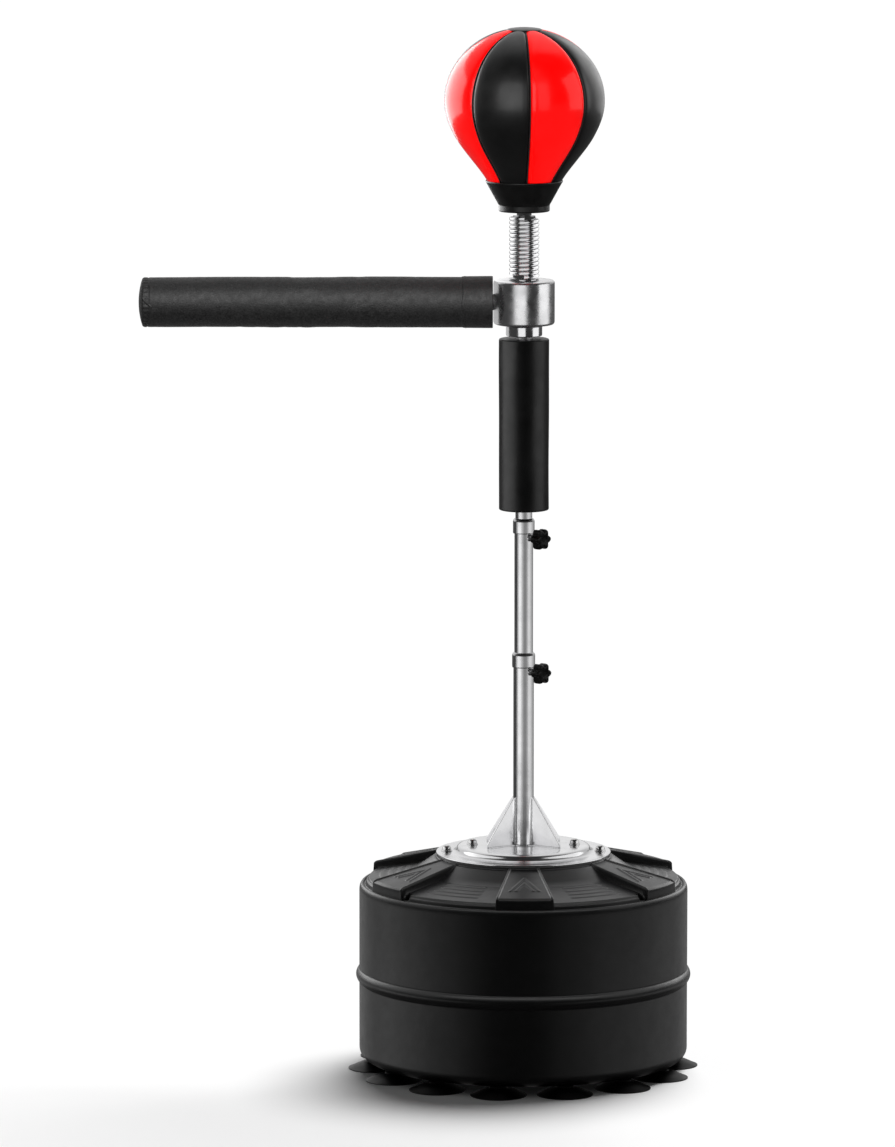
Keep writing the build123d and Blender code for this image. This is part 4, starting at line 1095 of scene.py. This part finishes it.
def build_crown(widest):
    """The round patch that covers the panels' points, with a needle hole."""
    reach = size_of("ball_top_disc")[0]
    crown = crown_height()

    def on_ball(r):
        return MIDDLE_Z + (crown - MIDDLE_Z) * math.sqrt(1 - (r / widest) ** 2)

    outline = [(r, on_ball(r) - 0.0006) for r in np.linspace(0.0, reach - 0.0006, 12)]
    outline += [(reach, on_ball(reach) - 0.0004)]
    for r in np.linspace(reach, 0.0016, 22):
        outline.append((r, on_ball(r) + 0.0009 - 0.0006 * smooth((r - reach + 0.003) / 0.003)))
    outline += [(0.0013, crown + 0.0007), (0.0011, crown + 0.0002), (0.0, crown)]
    disc = lathe("crown_patch", outline, 96, sharp_deg=60)
    finish_piece(disc, "leather_black", "ball", "ball_top_disc")


def build_neck():
    """The rubber cup: a plain lower lip, a step, then a flared wall with a rolled rim."""
    _, low, high = size_of("neck_cone")
    lip_r, lip_top, rim_r, hole_r = 0.0348, low + 0.010, 0.0526, 0.0101
    wall_in = lip_r - 0.003
    rim_in = wall_in + (high - lip_top) * FOOT_TAPER - 0.0001
    corners = [(hole_r, low, 0.0003), (lip_r - 0.0008, low, 0.0012), (lip_r, low + 0.0014, 0.001),
               (lip_r, lip_top - 0.001, 0.001), (lip_r + 0.0011, lip_top + 0.0006, 0.001),
               (rim_r - 0.0012, high - 0.0034, 0.002), (rim_r, high - 0.0022, 0.0012),
               (rim_r, high - 0.0004, 0.0005), (rim_r - 0.0007, high, 0.0004),
               (rim_in, high - 0.0002, 0.0001), (wall_in, lip_top, 0.0005), (hole_r, lip_top, 0)]
    finish_piece(lathe("neck_cup", soften(corners, 7), 180, closed=True), "neck_rubber", "ball", "neck_cone")


# ---- CAD nodes that stay, with finished materials ----
def dress_cad_nodes():
    """Smooth shading and its slot's finish for each CAD node that is still shown."""
    slots = {s["node"]: s["material_slot"] for s in frame["record"]["subparts"]}
    for node, piece in frame["nodes"].items():
        if piece.hide_render:
            continue
        piece.data.materials.clear()
        piece.data.materials.append(M[slots[node]])
        shade(piece.data, 30)


# ---- stage ----
LAMP_DISTANCE = 2.5
GROUPS = {
    "hub_metal": ("hub_housing", "collar_ring"),
    "spring_metal": ("spring_lower_half", "spring_upper_half"),
    "pole_metal": ("pole_lower", "pole_middle", "pole_upper", "ferrule_lower", "ferrule_upper",
                   "pole_foot_weld"),
    "base_metal": ("plate_disc", "fin_1", "fin_2", "fin_3", "fin_4", "bolt_heads", "washers"),
    "tank": ("tank_shell",),
    "ball_skin": ("gores_red", "gores_black", "seam_piping", "crown_patch", "neck_cup"),
    "bar": ("bar_sleeve", "bar_band", "bar_band_stitches"),
    "pad": ("sleeve_pad",),
    "knobs": ("hand_knob_lower", "hand_knob_upper"),
    "reds": ("gores_red",),
}


def build_stage():
    """A white floor that runs out of sight on all sides."""
    size = 60.0
    floor = make_mesh("floor", [(-size, -size, 0), (size, -size, 0), (size, size, 0), (-size, size, 0)],
                      [(0, 1, 2, 3)])
    floor.data.materials.append(new_material("floor_white", (0.9, 0.9, 0.9), 0.9, specular=0.0))
    floor.visible_glossy = False
    floor.visible_shadow = False


def grey_ramp(tree, azimuth_share, stops):
    """A grey for each azimuth round the room, eased between (degrees, grey) stops."""
    node = add_node(tree, "ShaderNodeValToRGB", {}, {"Fac": azimuth_share})
    node.color_ramp.interpolation = "EASE"
    elements = node.color_ramp.elements
    for i, (degrees, grey) in enumerate(stops):
        at = (degrees + 180) / 360
        element = elements[i] if i < 2 else elements.new(at)
        element.position = at
        element.color = (grey, grey, grey, 1.0)
    return node.outputs["Color"]


def room_color(tree):
    """The shaded room that only reflections see: pale behind the object, dark around the camera."""
    where = tree.nodes.new("ShaderNodeTexCoord").outputs["Generated"]
    parts = add_node(tree, "ShaderNodeSeparateXYZ", {}, {"Vector": where})
    front = add_node(tree, "ShaderNodeMath", {1: -1.0}, {0: parts.outputs["Y"]}, operation="MULTIPLY")
    azimuth = add_node(tree, "ShaderNodeMath", {}, {0: parts.outputs["X"], 1: front.outputs["Value"]},
                       operation="ARCTAN2")
    share = add_node(tree, "ShaderNodeMapRange", {"From Min": -math.pi, "From Max": math.pi},
                     {"Value": azimuth.outputs["Value"]}).outputs["Result"]
    below = grey_ramp(tree, share, [
        (-180, 0.1), (180, 0.1), (-100, 0.05), (-40, 0.04), (0, 0.025), (60, 0.03), (110, 0.06)])
    above = grey_ramp(tree, share, [
        (-180, 0.85), (180, 0.85), (-125, 0.6), (-85, 0.06), (-40, 0.03), (0, 0.02), (60, 0.03),
        (100, 0.06), (135, 0.5)])
    rise = add_node(tree, "ShaderNodeMapRange", {"From Min": -0.03, "From Max": 0.12},
                    {"Value": parts.outputs["Z"]})
    room = add_node(tree, "ShaderNodeMix", {}, {"Factor": rise.outputs["Result"], "A": below, "B": above},
                    data_type="RGBA")
    return room.outputs["Result"]


def build_world():
    """An even white dome for the floor and the camera, and a shaded room for reflections."""
    world = bpy.data.worlds.new("studio")
    bpy.context.scene.world = world
    world.use_nodes = True
    world.cycles.sampling_method = "NONE"
    tree = world.node_tree
    tree.nodes.clear()
    backdrop = "ShaderNodeBackground"
    shiny = add_node(tree, backdrop, {}, {"Color": room_color(tree)})
    plain = add_node(tree, backdrop, {"Color": (1.0, 1.0, 1.0, 1.0)}, {})
    dome = add_node(tree, backdrop, {"Strength": 0.13}, {})
    ray = tree.nodes.new("ShaderNodeLightPath").outputs
    lit = add_node(tree, "ShaderNodeMixShader", {}, {
        "Fac": ray["Is Diffuse Ray"], 1: plain.outputs["Background"], 2: dome.outputs["Background"]})
    choose = add_node(tree, "ShaderNodeMixShader", {}, {
        "Fac": ray["Is Glossy Ray"], 1: lit.outputs["Shader"], 2: shiny.outputs["Background"]})
    add_node(tree, "ShaderNodeOutputWorld", {}, {"Surface": choose.outputs["Shader"]})


def group_collection(name):
    """The pieces that one set of studio lamps is meant for."""
    group = bpy.data.collections.new("lit_" + name)
    for piece in GROUPS[name]:
        group.objects.link(bpy.data.objects[piece])
    return group


def point_at(lamp, direction):
    lamp.rotation_euler = Vector(direction).to_track_quat("-Z", "Y").to_euler()


def panel_light(name, azimuths, heights, radiance, aim_z):
    """A soft panel between two azimuths from the front towards +X. It faces the pole at a height."""
    middle = math.radians(sum(azimuths) / 2)
    width = 2 * LAMP_DISTANCE * math.tan(math.radians(abs(azimuths[1] - azimuths[0]) / 2))
    height = heights[1] - heights[0]
    data = bpy.data.lights.new(name, "AREA")
    data.shape = "RECTANGLE"
    data.size, data.size_y = width, height
    data.energy = radiance * math.pi * width * height
    lamp = add_object(name, data)
    lamp.location = (LAMP_DISTANCE * math.sin(middle), -LAMP_DISTANCE * math.cos(middle), sum(heights) / 2)
    point_at(lamp, Vector((0, 0, sum(heights) / 2 if aim_z is None else aim_z)) - lamp.location)
    lamp.visible_camera = False
    return lamp


def strip_lamps(group, heights, strips, aim_z=None):
    """Upright soft panels that only one group reflects, and that only this group shades.

    A strip is (azimuth, azimuth, radiance).
    """
    for i, (first, last, radiance) in enumerate(strips):
        lamp = panel_light(f"{group.name}_strip_{i}", (first, last), heights, radiance, aim_z)
        lamp.visible_diffuse = False
        lamp.light_linking.receiver_collection = group
        lamp.light_linking.blocker_collection = group


def soft_sun(name, direction, energy, spread_deg):
    """A broad distant light that leaves no highlight."""
    data = bpy.data.lights.new(name, "SUN")
    data.energy = energy
    data.angle = math.radians(spread_deg)
    lamp = add_object(name, data)
    point_at(lamp, direction)
    lamp.visible_glossy = False
    return lamp


def build_lights():
    """A sun overhead for the floor's shadow, a fill for the red panels, and each group's own strips."""
    group = {name: group_collection(name) for name in GROUPS}
    soft_sun("overhead", (-0.25, -0.5, -1.0), 3.7, 38)
    fill = soft_sun("ball_fill", (0.25, 1.0, -0.35), 3.4, 100)
    fill.light_linking.receiver_collection = group["reds"]
    strip_lamps(group["hub_metal"], (-0.3, 2.2), [(-180, -112, 0.5), (-37, 8, 0.95), (57, 106, 1.0)])
    strip_lamps(group["spring_metal"], (-2.5, 4.5), [(-150, -82, 1.0), (-40, 38, 0.8), (80, 150, 1.0)])
    strip_lamps(group["pole_metal"], (-0.3, 0.8), [
        (-84, -66, 0.45), (-66, -30, 1.0), (-30, -17, 0.66), (-17, -3, 0.44), (-3, 34, 0.24),
        (34, 50, 0.42), (50, 88, 0.74), (88, 110, 0.5), (110, 140, 0.3)])
    strip_lamps(group["base_metal"], (-0.9, 2.6), [(-125, -38, 0.85), (38, 125, 0.85)])
    strip_lamps(group["tank"], (-0.8, 0.0), [
        (-165, -115, 0.35), (-115, -70, 0.85), (-70, -45, 0.5), (-45, -30, 0.2), (20, 45, 0.25),
        (45, 120, 0.55), (120, 165, 0.3)])
    strip_lamps(group["tank"], (0.9, 3.2), [(-150, -60, 0.6), (60, 150, 0.75)], aim_z=0.3)
    strip_lamps(group["tank"], (0.5, 1.7), [(-162, -124, 1.6), (124, 162, 1.6)], aim_z=0.3)
    strip_lamps(group["tank"], (3.4, 4.8), [(-60, 60, 2.2)], aim_z=0.3)
    strip_lamps(group["ball_skin"], (0.8, 3.0), [
        (-38, 4, 2.2), (14, 34, 0.9), (66, 104, 1.6), (120, 165, 1.3)], aim_z=1.35)
    strip_lamps(group["ball_skin"], (0.5, 2.6), [(-165, -98, 4.4)], aim_z=1.35)
    strip_lamps(group["bar"], (1.7, 2.9), [(-50, 50, 9.0)], aim_z=1.0)
    strip_lamps(group["pad"], (-0.2, 2.4), [(-112, -42, 1.7), (48, 104, 1.0)], aim_z=0.9)
    strip_lamps(group["knobs"], (0.6, 2.4), [(-60, 0, 0.5), (40, 90, 0.6)], aim_z=0.7)


def build_camera():
    """A long lens a little above the object's middle, looking along +Y and slightly down."""
    data = bpy.data.cameras.new("camera")
    data.sensor_width = 36.0
    data.lens = 269.5
    data.clip_end = 300.0
    camera = add_object("camera", data)
    camera.location = (-0.104, -11.6, 2.317)
    down_deg = 8.01
    camera.rotation_euler = (math.radians(90 - down_deg), 0, 0)
    bpy.context.scene.camera = camera
    bpy.context.scene.view_settings.view_transform = "Standard"
    bpy.context.scene.view_settings.look = "None"


build_tank()
build_filler_neck()
build_filler_cap()
build_cups()
build_plate()
build_fins()
build_bolts()
build_tubes()
build_ferrule("lower_ferrule", "ferrule_lower", "base", TUBE_R["lower"], TUBE_R["middle"])
build_ferrule("upper_ferrule", "ferrule_upper", "middle_pole", TUBE_R["middle"], TUBE_R["upper"])
build_knob("lower_knob", "hand_knob_lower", "lower_knob_body")
build_knob("upper_knob", "hand_knob_upper", "upper_knob_body")
build_pad()
build_hub()
build_bar()
build_cuff()
build_spring()
build_ball()
build_neck()
dress_cad_nodes()
build_stage()
build_world()
build_lights()
build_camera()
